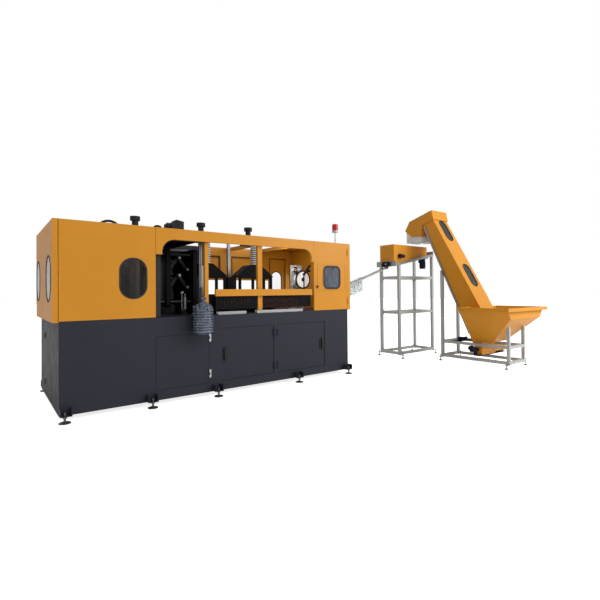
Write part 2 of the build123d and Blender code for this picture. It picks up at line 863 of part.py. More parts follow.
def tie_bar_places():
    places = []
    for y in (clamp_front + tie_bar_inset, clamp_front + clamp_depth - tie_bar_inset):
        for z in (clamp_low + tie_bar_inset, clamp_high - tie_bar_inset):
            places.append((y, z))
    return places


def clamp_slab(x0, x1, clearance):
    """Thick steel plate of the clamp with a bore for each tie bar."""
    corner = 40
    outline = Pos(clamp_y, (clamp_low + clamp_high) / 2) * RectangleRounded(clamp_depth, clamp_height, corner)
    slab = side_sheet(outline, x0, x1 - x0)
    for y, z in tie_bar_places():
        slab = slab - rod_x(x0 - 1, x1 + 1, y, z, tie_bar_radius + clearance)
    return slab


def toggle_lug(x_face, x_pin, z, y0, bore):
    """Lug with a round end that holds one toggle pin, standing off a plate."""
    a, b = sorted((x_face, x_pin))
    arm = block(a, b, y0, y0 + lug, z - link_width / 2, z + link_width / 2)
    ear = arm + rod_y(x_pin, y0, y0 + lug, z, link_width / 2)
    if bore:
        ear = ear - rod_y(x_pin, y0 - 1, y0 + lug + 1, z, bore)
    return ear


def make_clamp_plates():
    """Fixed plate behind the left mould half and thrust plate behind the toggles, on their feet."""
    fixed = clamp_slab(fixed_face - clamp_plate, fixed_face, 0)
    thrust = clamp_slab(toggle_plate_face, toggle_plate_face + clamp_plate, 0)
    for z in toggle_levels.values():
        for y in (outer_links[0] - side_gap - lug, outer_links[1] + link_thickness + side_gap):
            thrust = thrust + toggle_lug(toggle_plate_face, toggle_plate_x, z, y, link_pin_radius + hinge_fit)
    feet = []
    for x0 in (fixed_face - clamp_plate, toggle_plate_face):
        for y in (clamp_front + 60, clamp_front + clamp_depth - 220):
            feet.append(block(x0, x0 + clamp_plate, y, y + 160, base_top, clamp_low))
    return group([fixed + feet[0] + feet[1], thrust + feet[2] + feet[3]])


def make_tie_bars():
    """Ground bars through the plates, each with a hexagon nut at its ends."""
    bars = []
    x0, x1 = fixed_face - clamp_plate, toggle_plate_face + clamp_plate
    nut = tie_bar_nut
    for y, z in tie_bar_places():
        bar = rod_x(x0, x1, y, z, tie_bar_radius)
        for x in (x0 - nut, x1):
            bar = bar + Pos(x, y, z) * (Rot(0, 90, 0) * extrude(RegularPolygon(nut, 6), nut))
        bars.append(bar)
    return group(bars)


def bottle_cavity(x):
    """Space of the blown bottle inside the mould, round an upright line at x."""
    low = base_top + mould_lift + 70
    body_top = low + 395
    high = base_top + mould_lift + mould_height + 1
    profile = Polyline((0, low), (bottle_radius - 22, low), (bottle_radius, low + 22),
                       (bottle_radius, body_top - 75), (bottle_radius - 40, body_top - 18),
                       (bottle_neck_radius, body_top + 20), (bottle_neck_radius, high), (0, high), close=True)
    return Pos(x, clamp_y, 0) * revolve(Plane.XZ * make_face(profile), Axis.Z)


def mould_half(face, side):
    """Half of the blow mould. side is 1 where the block lies right of its parting face."""
    x0, x1 = sorted((face, face + side * mould_depth))
    z0 = base_top + mould_lift
    body = block(x0, x1, clamp_y - mould_width / 2, clamp_y + mould_width / 2, z0, z0 + mould_height)
    return body - bottle_cavity(face - side * mould_closed_gap / 2)


def make_mould_half_fixed():
    return mould_half(clamp_centre - mould_closed_gap / 2, -1)


def make_mould_half_moving():
    return mould_half(moving_mould_face, 1)


def inner_links():
    first, second = outer_links
    return first + link_thickness + side_gap, second - side_gap - link_thickness


def make_moving_platen():
    """Platen that slides on the tie bars, with the lugs and pins of the toggles."""
    platen = clamp_slab(platen_face, platen_back, hinge_fit)
    first, second = inner_links()
    for z in toggle_levels.values():
        near = first + link_thickness + side_gap
        far = second - side_gap - lug
        for y0, pin in ((near, (first, near + lug)), (far, (far, second + link_thickness))):
            platen = platen + toggle_lug(platen_back, toggle_platen_x, z, y0, 0)
            platen = platen + rod_y(toggle_platen_x, pin[0], pin[1], z, link_pin_radius)
    return platen


def link_bar(x_a, x_b, z_a, z_b, y0, end_radius_a, end_radius_b):
    """Flat link between two pin centres, with round eyes."""
    length = sqrt((x_b - x_a) ** 2 + (z_b - z_a) ** 2)
    angle = degrees(atan((z_b - z_a) / (x_b - x_a)))
    bar = Pos((x_a + x_b) / 2, y0 + link_thickness / 2, (z_a + z_b) / 2) * Rot(0, -angle, 0)
    body = bar * Box(length, link_thickness, link_width * 0.72)
    eye_a = rod_y(x_a, y0, y0 + link_thickness, z_a, end_radius_a)
    eye_b = rod_y(x_b, y0, y0 + link_thickness, z_b, end_radius_b)
    return body + eye_a + eye_b


def make_toggle_outer(level):
    """Pair of links from the thrust plate to the knee, on one shaft."""
    z = toggle_levels[level]
    knee_x = toggle_plate_x - link_reach / 2
    knee_z = z + link_rise
    eye = link_width / 2
    parts = []
    for y0 in outer_links:
        parts.append(link_bar(knee_x, toggle_plate_x, knee_z, z, y0, eye, eye))
    shaft = rod_y(toggle_plate_x, outer_links[0] - side_gap - lug, outer_links[1] + link_thickness + side_gap + lug,
                  z, link_pin_radius)
    links = join(parts + [shaft])
    return links - rod_y(knee_x, outer_links[0] - 1, outer_links[1] + link_thickness + 1, knee_z,
                         link_pin_radius + hinge_fit)


def make_toggle_inner(level):
    """Pair of links from the knee to the platen. Their platen eyes are open by a named clearance."""
    z = toggle_levels[level]
    knee_x = toggle_platen_x + link_reach / 2
    knee_z = z + link_rise
    eye = link_width / 2
    open_bore = link_pin_radius + open_pivot_clearance
    parts = []
    for y0 in inner_links():
        parts.append(link_bar(toggle_platen_x, knee_x, z, knee_z, y0, open_bore + 12, eye))
    shaft = rod_y(knee_x, outer_links[0] - 2, outer_links[1] + link_thickness + 2, knee_z, link_pin_radius)
    links = join(parts + [shaft])
    return links - rod_y(toggle_platen_x, outer_links[0], outer_links[1] + link_thickness, z, open_bore)


# Stretch unit over the mould

stretch_bridge = 25.0
gland_length = 30.0


def make_stretch_unit():
    """Bridge across the clamp plates with the stretch cylinder, which passes through the roof."""
    bridge_z = clamp_high
    bridge = block(fixed_face - clamp_plate, toggle_plate_face + clamp_plate, clamp_y - 70, clamp_y + 70,
                   bridge_z, bridge_z + stretch_bridge)
    low = base_top + mould_lift + mould_height + 12
    nose = rod_z(clamp_centre, clamp_y, low, bridge_z, 34)
    tube = rod_z(clamp_centre, clamp_y, bridge_z + stretch_bridge, guard_top + 118, 36)
    unit = bridge + nose + tube
    unit = unit - rod_z(clamp_centre, clamp_y, low + gland_length, guard_top + 112, 17)
    return unit - rod_z(clamp_centre, clamp_y, low - 1, low + gland_length + 1, stretch_rod_radius + hinge_fit)


def make_stretch_rod():
    low = base_top + mould_lift + mould_height + 4
    rod = rod_z(clamp_centre, clamp_y, low, low + stretch_rod_length, stretch_rod_radius)
    return rod + rod_z(clamp_centre, clamp_y, low + stretch_rod_length - 18, low + stretch_rod_length,
                       17 - hinge_fit)


# Bottle on its hanger in front of the machine

def make_bottle():
    """Ribbed water bottle with a thin wall and an open neck."""
    r, n, w = bottle_radius, bottle_neck_radius, bottle_wall
    z = bottle_bottom
    groove = 7
    outline = [(0, z + 16), (r * 0.6, z + 10), (r * 0.78, z), (r - 8, z + 6), (r, z + 24)]
    for start in (70, 130, 190, 250):
        outline += [(r, z + start), (r - groove, z + start + 9), (r - groove, z + start + 21), (r, z + start + 30)]
    outline += [(r, z + 318), (r - 14, z + 352), (r - 52, z + 388), (n + 14, z + 412), (n, z + 430),
                (n, z + bottle_height - 20)]
    ring = [(n + 9, z + bottle_height - 20), (n + 9, z + bottle_height - 12), (n, z + bottle_height - 12),
            (n, z + bottle_height)]
    inside = [(n - w, z + bottle_height)]
    for x, height in reversed(outline[1:-1]):
        lift = w if height < z + 40 else 0
        inside.append((max(x - w, 1), height + lift))
    inside.append((0, z + 16 + w))
    profile = Polyline(*(outline + ring + inside), close=True)
    return Pos(bottle_x, bottle_y, 0) * revolve(Plane.XZ * make_face(profile), Axis.Z)


hanger_column_x = 1762.0
hanger_column_y = 205.0
hanger_half = 20.0
fork_half = 44.0
hanger_bar_x = 1806.0
hanger_elbow_x = 1700.0
cabinet_start = oven_first_centre + hood_width / 2 + 12
mast_x = cabinet_start + 118
mast_size = 44.0


def make_bottle_hanger():
    """Aluminium column with a sliding arm whose fork holds the bottle under its neck ring."""
    neck = bottle_bottom + bottle_height - 20
    half = hanger_half
    column = block(hanger_column_x - half, hanger_column_x + half, hanger_column_y - half, hanger_column_y + half,
                   base_top, guard_top - 90)
    slot = block(hanger_column_x - 6, hanger_column_x + 6, hanger_column_y - half - 1, hanger_column_y - half + 8,
                 base_top + 30, guard_top - 120)
    bar = block(hanger_bar_x, hanger_bar_x + half, hanger_column_y + 30, hanger_column_y + 50, base_top,
                base_top + 700)
    mast_y = hood_front + 220
    mast = block(mast_x, mast_x + mast_size, mast_y, mast_y + mast_size, base_top, guard_top - sheet)
    fork = block(bottle_x - fork_half, bottle_x + fork_half, bottle_y - 48, bottle_y + 48, neck - 12, neck)
    elbow_y = bottle_y + 70
    reach = block(hanger_elbow_x, hanger_elbow_x + 30, bottle_y + 40, hanger_column_y - 60, neck - 12, neck)
    reach = reach + block(bottle_x, hanger_elbow_x + 30, bottle_y + 30, elbow_y, neck - 12, neck)
    reach = reach + block(hanger_elbow_x, hanger_column_x + 10, hanger_column_y - 90, hanger_column_y - 60,
                          neck - 12, neck)
    reach = reach + block(hanger_column_x - 16, hanger_column_x + 10, hanger_column_y - 90, hanger_column_y - half,
                          neck - 12, neck)
    cut = rod_z(bottle_x, bottle_y, neck - 13, neck + 1, bottle_neck_radius + 1.2)
    mouth = block(bottle_x - bottle_neck_radius - 1.2, bottle_x + bottle_neck_radius + 1.2, bottle_y - 60,
                  bottle_y, neck - 13, neck + 1)
    column = column - slot
    arm = fork + reach - cut - mouth
    cylinder = block(hanger_column_x - 16, hanger_column_x + 16, hanger_column_y - 60, hanger_column_y - half,
                     neck, neck + 150)
    return group([join([column, arm, cylinder]), bar, mast])


# Oven: two heating modules over the preform chain, with hoods, ducts and roof fans

oven_centres = (oven_first_centre, oven_first_centre + oven_pitch)
hood_z = base_top + hood_bottom
hood_top_z = hood_z + hood_height
post_offsets = (-295.0, -58.0, 151.0, 289.0)
lamp_box_height = 290.0
lamp_box_front = hood_front + oven_post
cabinet_end = oven_centres[1] - hood_width / 2 - 4
duct_y = hood_front + duct_radius + 4
plenum_low = guard_top - crossbar
plenum_wall = 3.0
fan_places = tuple((centre + 65.0, fan_setback) for centre in oven_centres)


def hood_outline(shrink):
    """Trapezoid of a hood, made smaller all round by shrink."""
    half_low = hood_width / 2 - shrink
    half_high = hood_top_width / 2 - shrink
    return half_low, half_high, hood_z, hood_top_z - shrink


hood_stop = toggle_plate_face + clamp_plate + tie_bar_nut + 12


def make_exhaust_hoods():
    """Tapered sheet hoods, open below, with a round outlet on top. The clamp cuts the first one short."""
    hoods = []
    for centre in oven_centres:
        shells = []
        for shrink, grow in ((0, 0), (sheet, 1)):
            low, high, z0, z1 = hood_outline(shrink)
            face = Polyline((centre - low, z0 - grow), (centre - low, z0 + 12), (centre - high, z1),
                            (centre + high, z1), (centre + low, z0 + 12), (centre + low, z0 - grow), close=True)
            shell = front_sheet(make_face(face), hood_front + shrink, hood_depth - 2 * shrink)
            shells.append(shell - block(0, hood_stop + shrink, 0, base_depth, hood_z - 2, guard_top))
        hood = shells[0] - shells[1]
        outlet = rod_z(centre + duct_offset, duct_y, hood_top_z - 10, hood_top_z + 10, duct_radius - duct_rib - 8)
        hoods.append(hood - outlet)
    return group(hoods)


skirt_y = header_return + 1


def make_oven_modules():
    """Posts, lamp boxes and crossrails of the two modules, the cabinets between them and the skirts in front."""
    pieces = []
    for centre in oven_centres:
        posts = []
        starts = [centre + offset for offset in post_offsets if centre + offset > hood_stop]
        for x in starts:
            posts.append(block(x, x + oven_post, hood_front, hood_front + oven_post, base_top, hood_z))
        first, last = starts[0], starts[-1] + oven_post
        lamps = [block(first, last, lamp_box_front, lamp_box_front + 24, base_top, base_top + lamp_box_height)]
        for a, b in zip(starts, starts[1:]):
            posts.append(block(a + oven_post, b, hood_front + 4, hood_front + oven_post - 4, hood_z - 30, hood_z))
        for level in range(6):
            z = base_top + 110 + level * 26
            lamps.append(rod_x(first + 30, last - 30, lamp_box_front + 30, z, 7))
        pieces += posts + [join(lamps)]
        back = chain_centre_y + chain_radius + 40
        rear = block(first, last, back, back + 24, base_top, base_top + lamp_box_height)
        pieces.append(rear)
    pieces.append(block(cabinet_start, cabinet_end, hood_front + 10, hood_front + 100, base_top, hood_z - 10))
    skirt_low = base_top + rail_lift + rail_height + 30
    pieces.append(block(beam_start + beam_depth, post_two_start, skirt_y, skirt_y + sheet, skirt_low,
                        base_top + beam_bottom + 12))
    pieces.append(block(post_two_start + post_two_width, header_end - header_leg_right, skirt_y, skirt_y + sheet,
                        skirt_low, base_top + beam_bottom + 12))
    prop_x = beam_start
    prop_z = base_top + rail_lift + rail_height
    pieces.append(block(prop_x, prop_x + beam_depth, 10, 40, prop_z, base_top + beam_bottom))
    return group(pieces)


def make_flex_ducts():
    """Ribbed hoses from the hoods to the plenum boxes under the roof."""
    ducts = []
    rib_step = (plenum_low - hood_top_z) / duct_ribs
    core = duct_radius - duct_rib
    for centre in oven_centres:
        outer = [(core, hood_top_z)]
        for rib in range(duct_ribs):
            z = hood_top_z + rib * rib_step
            outer += [(core, z + rib_step * 0.25), (duct_radius, z + rib_step * 0.45),
                      (duct_radius, z + rib_step * 0.75), (core, z + rib_step * 0.95)]
        outer.append((core, plenum_low))
        inner = [(core - 6, plenum_low), (core - 6, hood_top_z)]
        ring = revolve(Plane.XZ * make_face(Polyline(*(outer + inner), close=True)), Axis.Z)
        ducts.append(Pos(centre + duct_offset, duct_y, 0) * ring)
    return group(ducts)


def fan_cup(x, y, bore):
    """Black cup with a wide flange on top, standing on a round foot."""
    z1 = guard_top + fan_height
    cup = rod_z(x, y, guard_top, guard_top + 6, fan_body_radius + 18)
    cup = cup + rod_z(x, y, guard_top, z1, fan_body_radius)
    cup = cup + rod_z(x, y, z1 - fan_flange_height, z1, fan_flange_radius)
    return cup - rod_z(x, y, guard_top - 1, z1 - 12, bore)


def plenum_limits():
    """Outline of each plenum box: it covers its duct and its fan."""
    limits = []
    border = duct_radius + 8
    for centre, (x, y) in zip(oven_centres, fan_places):
        duct_x = centre + duct_offset
        limits.append((min(duct_x, x) - border, max(duct_x, x) + border, duct_y - border, y + border))
    return limits


def make_exhaust_fans():
    """Two extraction fans on their plenum boxes and the silencer over the stretch cylinder."""
    pieces = [fan_cup(clamp_centre, clamp_y, fan_body_radius - 5)]
    for centre, (x, y), (x0, x1, y0, y1) in zip(oven_centres, fan_places, plenum_limits()):
        duct_x = centre + duct_offset
        w = plenum_wall
        outer = block(x0, x1, y0, y1, plenum_low, guard_top)
        inner = block(x0 + w, x1 - w, y0 + w, y1 - w, plenum_low + w, guard_top - w)
        box = outer - inner - rod_z(duct_x, duct_y, plenum_low - 1, plenum_low + 10, duct_radius - duct_rib - 8)
        pieces.append(box - rod_z(x, y, guard_top - 10, guard_top + 1, fan_body_radius - 5))
        pieces.append(fan_cup(x, y, fan_body_radius - 5) + impeller(x, y))
    return group(pieces)


def impeller(x, y):
    """Hub and four blades across the throat of a fan."""
    z = guard_top + 60
    hub = rod_z(x, y, z, z + 34, 12)
    span = 2 * (fan_body_radius - 4)
    for turn in (20, 110):
        blade = Pos(x, y, z + 17) * Rot(0, 0, turn) * Box(span, 3, 22)
        hub = hub + blade
    return hub


def racetrack(radius):
    """Outline of the chain path, grown or shrunk to radius."""
    middle = (chain_start + chain_end) / 2
    length = chain_end - chain_start
    return Pos(middle, chain_centre_y) * SlotCenterToCenter(length, 2 * radius)


def spindle_places():
    """Points along the chain: even steps on both straight runs and three round each end."""
    places = []
    step = (chain_end - chain_start) / (spindle_count_side - 1)
    for index in range(spindle_count_side):
        for side in (-1, 1):
            places.append((chain_start + index * step, chain_centre_y + side * chain_radius))
    for centre, way in ((chain_start, -1), (chain_end, 1)):
        for angle in (-45, 0, 45):
            places.append((centre + way * chain_radius * cos(radians(angle)),
                           chain_centre_y + chain_radius * sin(radians(angle))))
    return places


def make_preform_chain():
    """Spindle chain on its two sprockets, whose hubs stand on the bed."""
    z = base_top + chain_level
    reach = chain_radius + chain_half
    band = Pos(0, 0, z) * extrude(racetrack(reach) - racetrack(chain_radius - chain_half), chain_thickness)
    whole = [band]
    for x in (chain_start, chain_end):
        whole.append(rod_z(x, chain_centre_y, z + 4, z + chain_thickness - 4, chain_radius - chain_half + 1))
        whole.append(rod_z(x, chain_centre_y, base_top, z + 60, 52))
    for x, y in spindle_places():
        whole.append(rod_z(x, y, z - 20, z + 74, spindle_radius))
    chain = join(whole)
    low, high = base_top - 1, z + 200
    near, far = chain_centre_y - reach - 20, chain_centre_y + reach + 20
    first, last = chain_start + chain_radius, chain_end - chain_radius
    middle = chain & block(first, last, near, far, low, high)
    ends = [chain & block(chain_start - reach - 20, first, near, far, low, high),
            chain & block(last, chain_end + reach + 20, near, far, low, high)]
    return group([middle] + ends)


# Fittings on the roof

gearbox_x = 1510.0
gearbox_y = 550.0
hose_y = 500.0
roof_hoses = ((500.0, 770.0, 84.0, 16.0), (1200.0, 1330.0, 72.0, 18.0))


def hose_arch(x0, x1, y, rise, radius):
    """Hose that arches from one roof gland to another."""
    low = guard_top + 20
    path = ThreePointArc((x0, y, low), ((x0 + x1) / 2, y, low + rise), (x1, y, low))
    hose = sweep((path ^ 0) * Circle(radius), path=path)
    for x in (x0, x1):
        hose = hose + block(x - radius - 12, x + radius + 12, y - radius - 9, y + radius + 9, guard_top, low + radius)
    return hose


def make_roof_fittings():
    """Drive gearbox with its motor, and two hoses between roof glands."""
    z = guard_top
    profile = Polyline((gearbox_x - 60, z + 14), (gearbox_x + 120, z + 14), (gearbox_x + 120, z + 185),
                       (gearbox_x + 10, z + 205), (gearbox_x - 60, z + 130), close=True)
    box = front_sheet(make_face(profile), gearbox_y - 90, 180)
    flange = block(gearbox_x - 70, gearbox_x + 130, gearbox_y - 100, gearbox_y + 100, z, z + 14)
    motor = rod_x(gearbox_x - 100, gearbox_x, gearbox_y, z + 105, 58)
    snout = rod_x(gearbox_x - 130, gearbox_x - 100, gearbox_y, z + 105, 36)
    disc = rod_y(gearbox_x - 48, gearbox_y - 72, gearbox_y - 40, z + 62, 24)
    drive = join([box, flange, motor, snout, disc])
    hoses = [hose_arch(x0, x1, hose_y, rise, radius) for x0, x1, rise, radius in roof_hoses]
    return group([drive] + hoses)


lamp_x = base_length - 170.0
lamp_y = 120.0
lamp_pole_height = 235.0
lamp_pole_radius = 9.0
lamp_lens_radius = 55.0
lamp_lens_height = 115.0


def make_signal_lamp_base():
    z = guard_top
    foot = rod_z(lamp_x, lamp_y, z, z + 8, 44)
    pole = rod_z(lamp_x, lamp_y, z, z + lamp_pole_height - 24, lamp_pole_radius)
    cup = rod_z(lamp_x, lamp_y, z + lamp_pole_height - 34, z + lamp_pole_height, lamp_lens_radius)
    return foot + pole + cup


def make_signal_lamp_lens():
    z = guard_top + lamp_pole_height
    body = rod_z(lamp_x, lamp_y, z, z + lamp_lens_height, lamp_lens_radius - 3)
    top_edge = body.edges().sort_by(Axis.Z)[-1]
    lens = fillet(top_edge, 26)
    return lens - rod_z(lamp_x, lamp_y, z - 1, z + lamp_lens_height - 40, lamp_lens_radius - 9)


# Preform infeed inside the machine

infeed_start = header_end + 40.0
infeed_end = header_end + 288.0
infeed_y = 700.0
infeed_hole_x = infeed_start + 130
infeed_hole_z = base_top + 560
infeed_hole_radius = 62.0


def make_infeed_frame():
    """Grey upright plate with the infeed wheel, guide rails and their brackets."""
    plate = block(infeed_start, infeed_end, infeed_y, infeed_y + 16, base_top, base_top + 795)
    plate = plate - rod_y(infeed_hole_x, infeed_y - 1, infeed_y + 17, infeed_hole_z, infeed_hole_radius)
    foot = block(infeed_start, infeed_end, infeed_y - 60, infeed_y + 90, base_top, base_top + 20)
    pieces = [plate, foot]
    for z in (base_top + 250, base_top + 430, base_top + 690):
        pieces.append(block(infeed_start + 30, infeed_start + 110, infeed_y - 46, infeed_y, z, z + 44))
        pieces.append(rod_y(infeed_start + 190, infeed_y - 52, infeed_y, z + 22, 24))
    pieces.append(block(infeed_end - 26, infeed_end + 14, infeed_y - 70, infeed_y, base_top, base_top + 620))
    wheel_z = base_top + 150
    pieces.append(rod_z(infeed_start + 60, infeed_y - 170, base_top, wheel_z, 40))
    pieces.append(rod_z(infeed_start + 60, infeed_y - 170, wheel_z - 20, wheel_z, 100))
    return join(pieces)


# Preform chute between the unscrambler and the machine

chute_rise = tan(radians(chute_slope))


def chute_level(x):
    """Height of the underside of the chute bars."""
    return chute_low_z - chute_bar_height / 2 + (x - chute_low_x) * chute_rise


def strip(x0, x1, y0, y1, level, low, high):
    """Sloping bar between two heights above a level that is a function of X."""
    face = Polyline((x0, level(x0) + low), (x1, level(x1) + low), (x1, level(x1) + high),
                    (x0, level(x0) + high), close=True)
    return front_sheet(make_face(face), y0, y1 - y0)


def make_chute_rails():
    """Two flat bars with tie plates below them, and a bracket on the machine bed."""
    half = chute_gap / 2
    high = chute_bar_height
    pieces = []
    for side in (-1, 1):
        a, b = sorted((chute_y + side * half, chute_y + side * (half + chute_bar)))
        pieces.append(strip(chute_low_x, chute_high_x, a, b, chute_level, 0, high))
    reach = half + chute_bar
    for x in (chute_low_x, chute_high_x - chute_plate):
        pieces.append(strip(x, x + chute_plate, chute_y - reach, chute_y + reach, chute_level, -16, 0))
    bracket_top = chute_level(chute_low_x) - 16
    pieces.append(block(chute_low_x, chute_low_x + chute_plate, chute_y - reach, chute_y + reach, base_top,
                        bracket_top + 2))
    return join(pieces)


def make_preforms():
    """Row of preforms that hang by their neck rings on the two bars."""
    rise = sqrt(preform_flange_radius ** 2 - (chute_gap / 2) ** 2) * chute_rise
    neck = 15.0
    ring = 4.0
    finish = 22.0
    r = preform_radius
    outline = Polyline((0, -preform_length), (r * 0.6, -preform_length + 3), (r, -preform_length + 18), (r, -18),
                       (neck, 0), (preform_flange_radius, 0), (preform_flange_radius, ring), (neck, ring),
                       (neck, ring + finish), (neck - 4, ring + finish), (neck - 4, -20), (0, -30), close=True)
    shape = revolve(Plane.XZ * make_face(outline), Axis.Z)
    preforms = []
    for index in range(preform_count):
        x = preform_last_x - index * preform_pitch
        z = chute_level(x) + chute_bar_height + rise + 0.05
        preforms.append(Pos(x, chute_y, z) * shape)
    return group(preforms)


# Unscrambler on its stand

deck_rise = tan(radians(roller_slope))
deck_height = roller_frame_height / cos(radians(roller_slope))
rail_web = 5.0
rail_front = stand_one_front - 20
rail_back = stand_one_back + 20
front_flange = 62.0
back_flange = 100.0
end_plate = 12.0
rail_tall = 56.0 / cos(radians(roller_slope))
roller_ys = (chute_y - roller_radius - roller_gap / 2, chute_y + roller_radius + roller_gap / 2)
roller_drop = 48.0
bin_sheet = 3.0


def deck(x):
    """Underside of the sloping roller frame."""
    return roller_frame_level + (x - roller_frame_start) * deck_rise


def deck_strip(x0, x1, y0, y1, low, high):
    return strip(x0, x1, y0, y1, deck, low, high)


def roller_axis(x, y):
    return x, y, deck(x) + deck_height - roller_drop


def along_deck(x, y, start, length, radius):
    """Rod on the axis of a roller, start and length measured along the slope from x."""
    px, py, pz = roller_axis(x, y)
    turn = Location((px, py, pz), (0, 90 - roller_slope, 0))
    return turn * (Pos(0, 0, start) * Cylinder(radius, length, align=(Align.CENTER, Align.CENTER, Align.MIN)))


def make_unscrambler_frame():
    """Two channel rails, joined by the end plates that carry the rollers, and two cross members."""
    x0, x1 = roller_frame_start, roller_frame_end
    top = deck_height
    pieces = []
    for web, tip in ((rail_front, rail_front + front_flange), (rail_back, rail_back - back_flange)):
        a, b = sorted((web, web + (rail_web if tip > web else -rail_web)))
        c, d = sorted((web, tip))
        pieces.append(deck_strip(x0, x1, a, b, 0, rail_tall))
        pieces.append(deck_strip(x0, x1, c, d, 0, rail_web))
        pieces.append(deck_strip(x0, x1, c, d, rail_tall - rail_web, rail_tall))
    for x in (x0, x1 - end_plate):
        pieces.append(deck_strip(x, x + end_plate, rail_front, rail_back, 0, top))
    for x in (x0 + 260, x1 - 420):
        pieces.append(deck_strip(x, x + 40, rail_front + rail_web, rail_back - rail_web, 0, 24))
    frame = join(pieces)
    slope = cos(radians(roller_slope))
    for y in roller_ys:
        frame = frame - along_deck(x0, y, -60, (x1 - x0) / slope + 120, roller_shaft + hinge_fit)
    return frame + block(x0, x0 + end_plate, chute_y - 45, chute_y + 45, deck(x0) - 44, deck(x0) + 2)


def make_roller(index):
    """Steel roller with a shaft through both end plates. The front one sticks out at the left."""
    y = roller_ys[index]
    slope = cos(radians(roller_slope))
    x0, x1 = roller_frame_start, roller_frame_end
    body_start = (end_plate + 16) / slope
    body_length = (x1 - x0) / slope - 2 * body_start
    lead = 105.0 if index == 0 else 45.0
    body = along_deck(x0, y, body_start, body_length, roller_radius)
    shaft = along_deck(x0, y, -lead, (x1 - x0) / slope + lead + 8, roller_shaft)
    pulley = along_deck(x0, y, -24, 14, roller_radius - 6)
    return join([body, shaft, pulley])


def make_unscrambler_hopper():
    """Open bin of folded sheet over the rollers, with two sloping floor sheets."""
    w = bin_sheet
    floor_gap = deck_height
    pieces = []
    low = {}
    for name, x in (("left", bin_start), ("right", bin_end)):
        low[name] = deck(x) + floor_gap
    inner_start = roller_frame_start + end_plate + 1
    for y in (bin_front, bin_back - w):
        face = Polyline((inner_start, deck(inner_start) + rail_tall), (bin_end, deck(bin_end) + rail_tall),
                        (bin_end, bin_top), (bin_start, bin_top), (bin_start, low["left"] + w),
                        (inner_start, low["left"] + w), close=True)
        pieces.append(front_sheet(make_face(face), y, w))
    pieces.append(block(bin_start, bin_start + w, bin_front, bin_back, low["left"] + w, bin_top))
    pieces.append(block(bin_end - w, bin_end, bin_front, bin_back, low["right"] + w, bin_top))
    lip = 14
    rim = block(bin_start, bin_end, bin_front, bin_back, bin_top - w, bin_top)
    pieces.append(rim - block(bin_start + lip, bin_end - lip, bin_front + lip, bin_back - lip, bin_top - w - 1,
                              bin_top + 1))
    inner_front = roller_ys[0] - roller_radius + 6
    inner_back = roller_ys[1] + roller_radius - 6
    for wall, edge in ((bin_front + 1, inner_front), (bin_back - 1, inner_back)):
        x0 = bin_start + w
        a = low["left"] + 2
        floor = Polyline((wall, a + 52), (edge, a + 2), (edge, a + 2 + w), (wall, a + 52 + w), close=True)
        sketch = Pos(x0, 0, 0) * (Plane.YZ * make_face(floor))
        length = (bin_end - bin_start - 2 * w) / cos(radians(roller_slope))
        pieces.append(extrude(sketch, length, dir=(cos(radians(roller_slope)), 0, sin(radians(roller_slope)))))
    hopper = join(pieces)
    return hopper - rod_y(kick_x, bin_front - 1, bin_front + w + 1, kick_z, kick_shaft + hinge_fit)


kick_x = bin_start + 178.0
kick_z = bin_top - 243.0
kick_shaft = 11.0
kick_radius = 66.0


def make_kick_wheel():
    """Paddle wheel inside the bin, which knocks preforms off that lie across the rollers."""
    y0 = roller_ys[0] - 12
    hub = rod_y(kick_x, y0, y0 + 60, kick_z, 26)
    shaft = rod_y(kick_x, bin_front - 34, y0 + 4, kick_z, kick_shaft)
    for turn in range(3):
        paddle = Box(2 * kick_radius, 50, 8)
        hub = hub + Pos(kick_x, y0 + 30, kick_z) * Rot(0, 60 * turn, 0) * paddle
    return hub + shaft


def make_tail():
    """Black plate under the elevator's foot and the outboard bearing of its tail shaft."""
    low = casing_profile[2][1]
    front = casing_profile[2][0]
    plate = block(casing_left - tail_plate_left, casing_right + tail_plate_right, front - 12, front + 110, low - 12,
                  low)
    foot = block(casing_left - tail_plate_left, casing_left - tail_plate_left + 40, front + 60, front + 110, low,
                 tail_z + 34)
    return [plate, foot]


def make_feeder_motors():
    """Kick wheel motor, roller gearmotor, elevator motor and the elevator's tail plate."""
    y = bin_front
    kick = rod_y(kick_x, y - 24, y, kick_z, 46)
    kick = kick + rod_x(kick_x - 40, kick_x + 82, y - 52, kick_z - 6, 38)
    kick = kick + block(kick_x - 34, kick_x + 34, y - 60, y - 8, kick_z - 42, kick_z + 42)
    kick = kick - rod_y(kick_x, y - 36, y + 1, kick_z, kick_shaft + hinge_fit)
    gear_x = bin_end - 141.0
    plate = deck_strip(gear_x - 70, gear_x + 120, rail_front, rail_front + 210, -14, 0)
    body = rod_z(gear_x + 30, rail_front + 90, deck(gear_x) - 225, deck(gear_x) + 6, 62)
    fins = rod_z(gear_x + 30, rail_front + 90, deck(gear_x) - 190, deck(gear_x) - 60, 68)
    knob = rod_x(gear_x - 75, gear_x, rail_front + 90, deck(gear_x) - 64, 40)
    gear = join([plate, body - block(gear_x - 80, gear_x + 130, rail_front, rail_front + 200,
                                     deck(gear_x) - 8, deck(gear_x) + 10), fins, knob])
    shelf = stand_two_rail + stand_tube / 2
    base = block(stand_two_left - 20, stand_two_right + 20, -680, -520, shelf, shelf + 10)
    box = block(elevator_x - 190, elevator_x - 80, -650, -560, shelf + 10, shelf + 76)
    motor = rod_x(elevator_x - 80, elevator_x + 60, -605, shelf + 42, 31)
    return group([kick, gear, join([base, box, motor])] + make_tail())


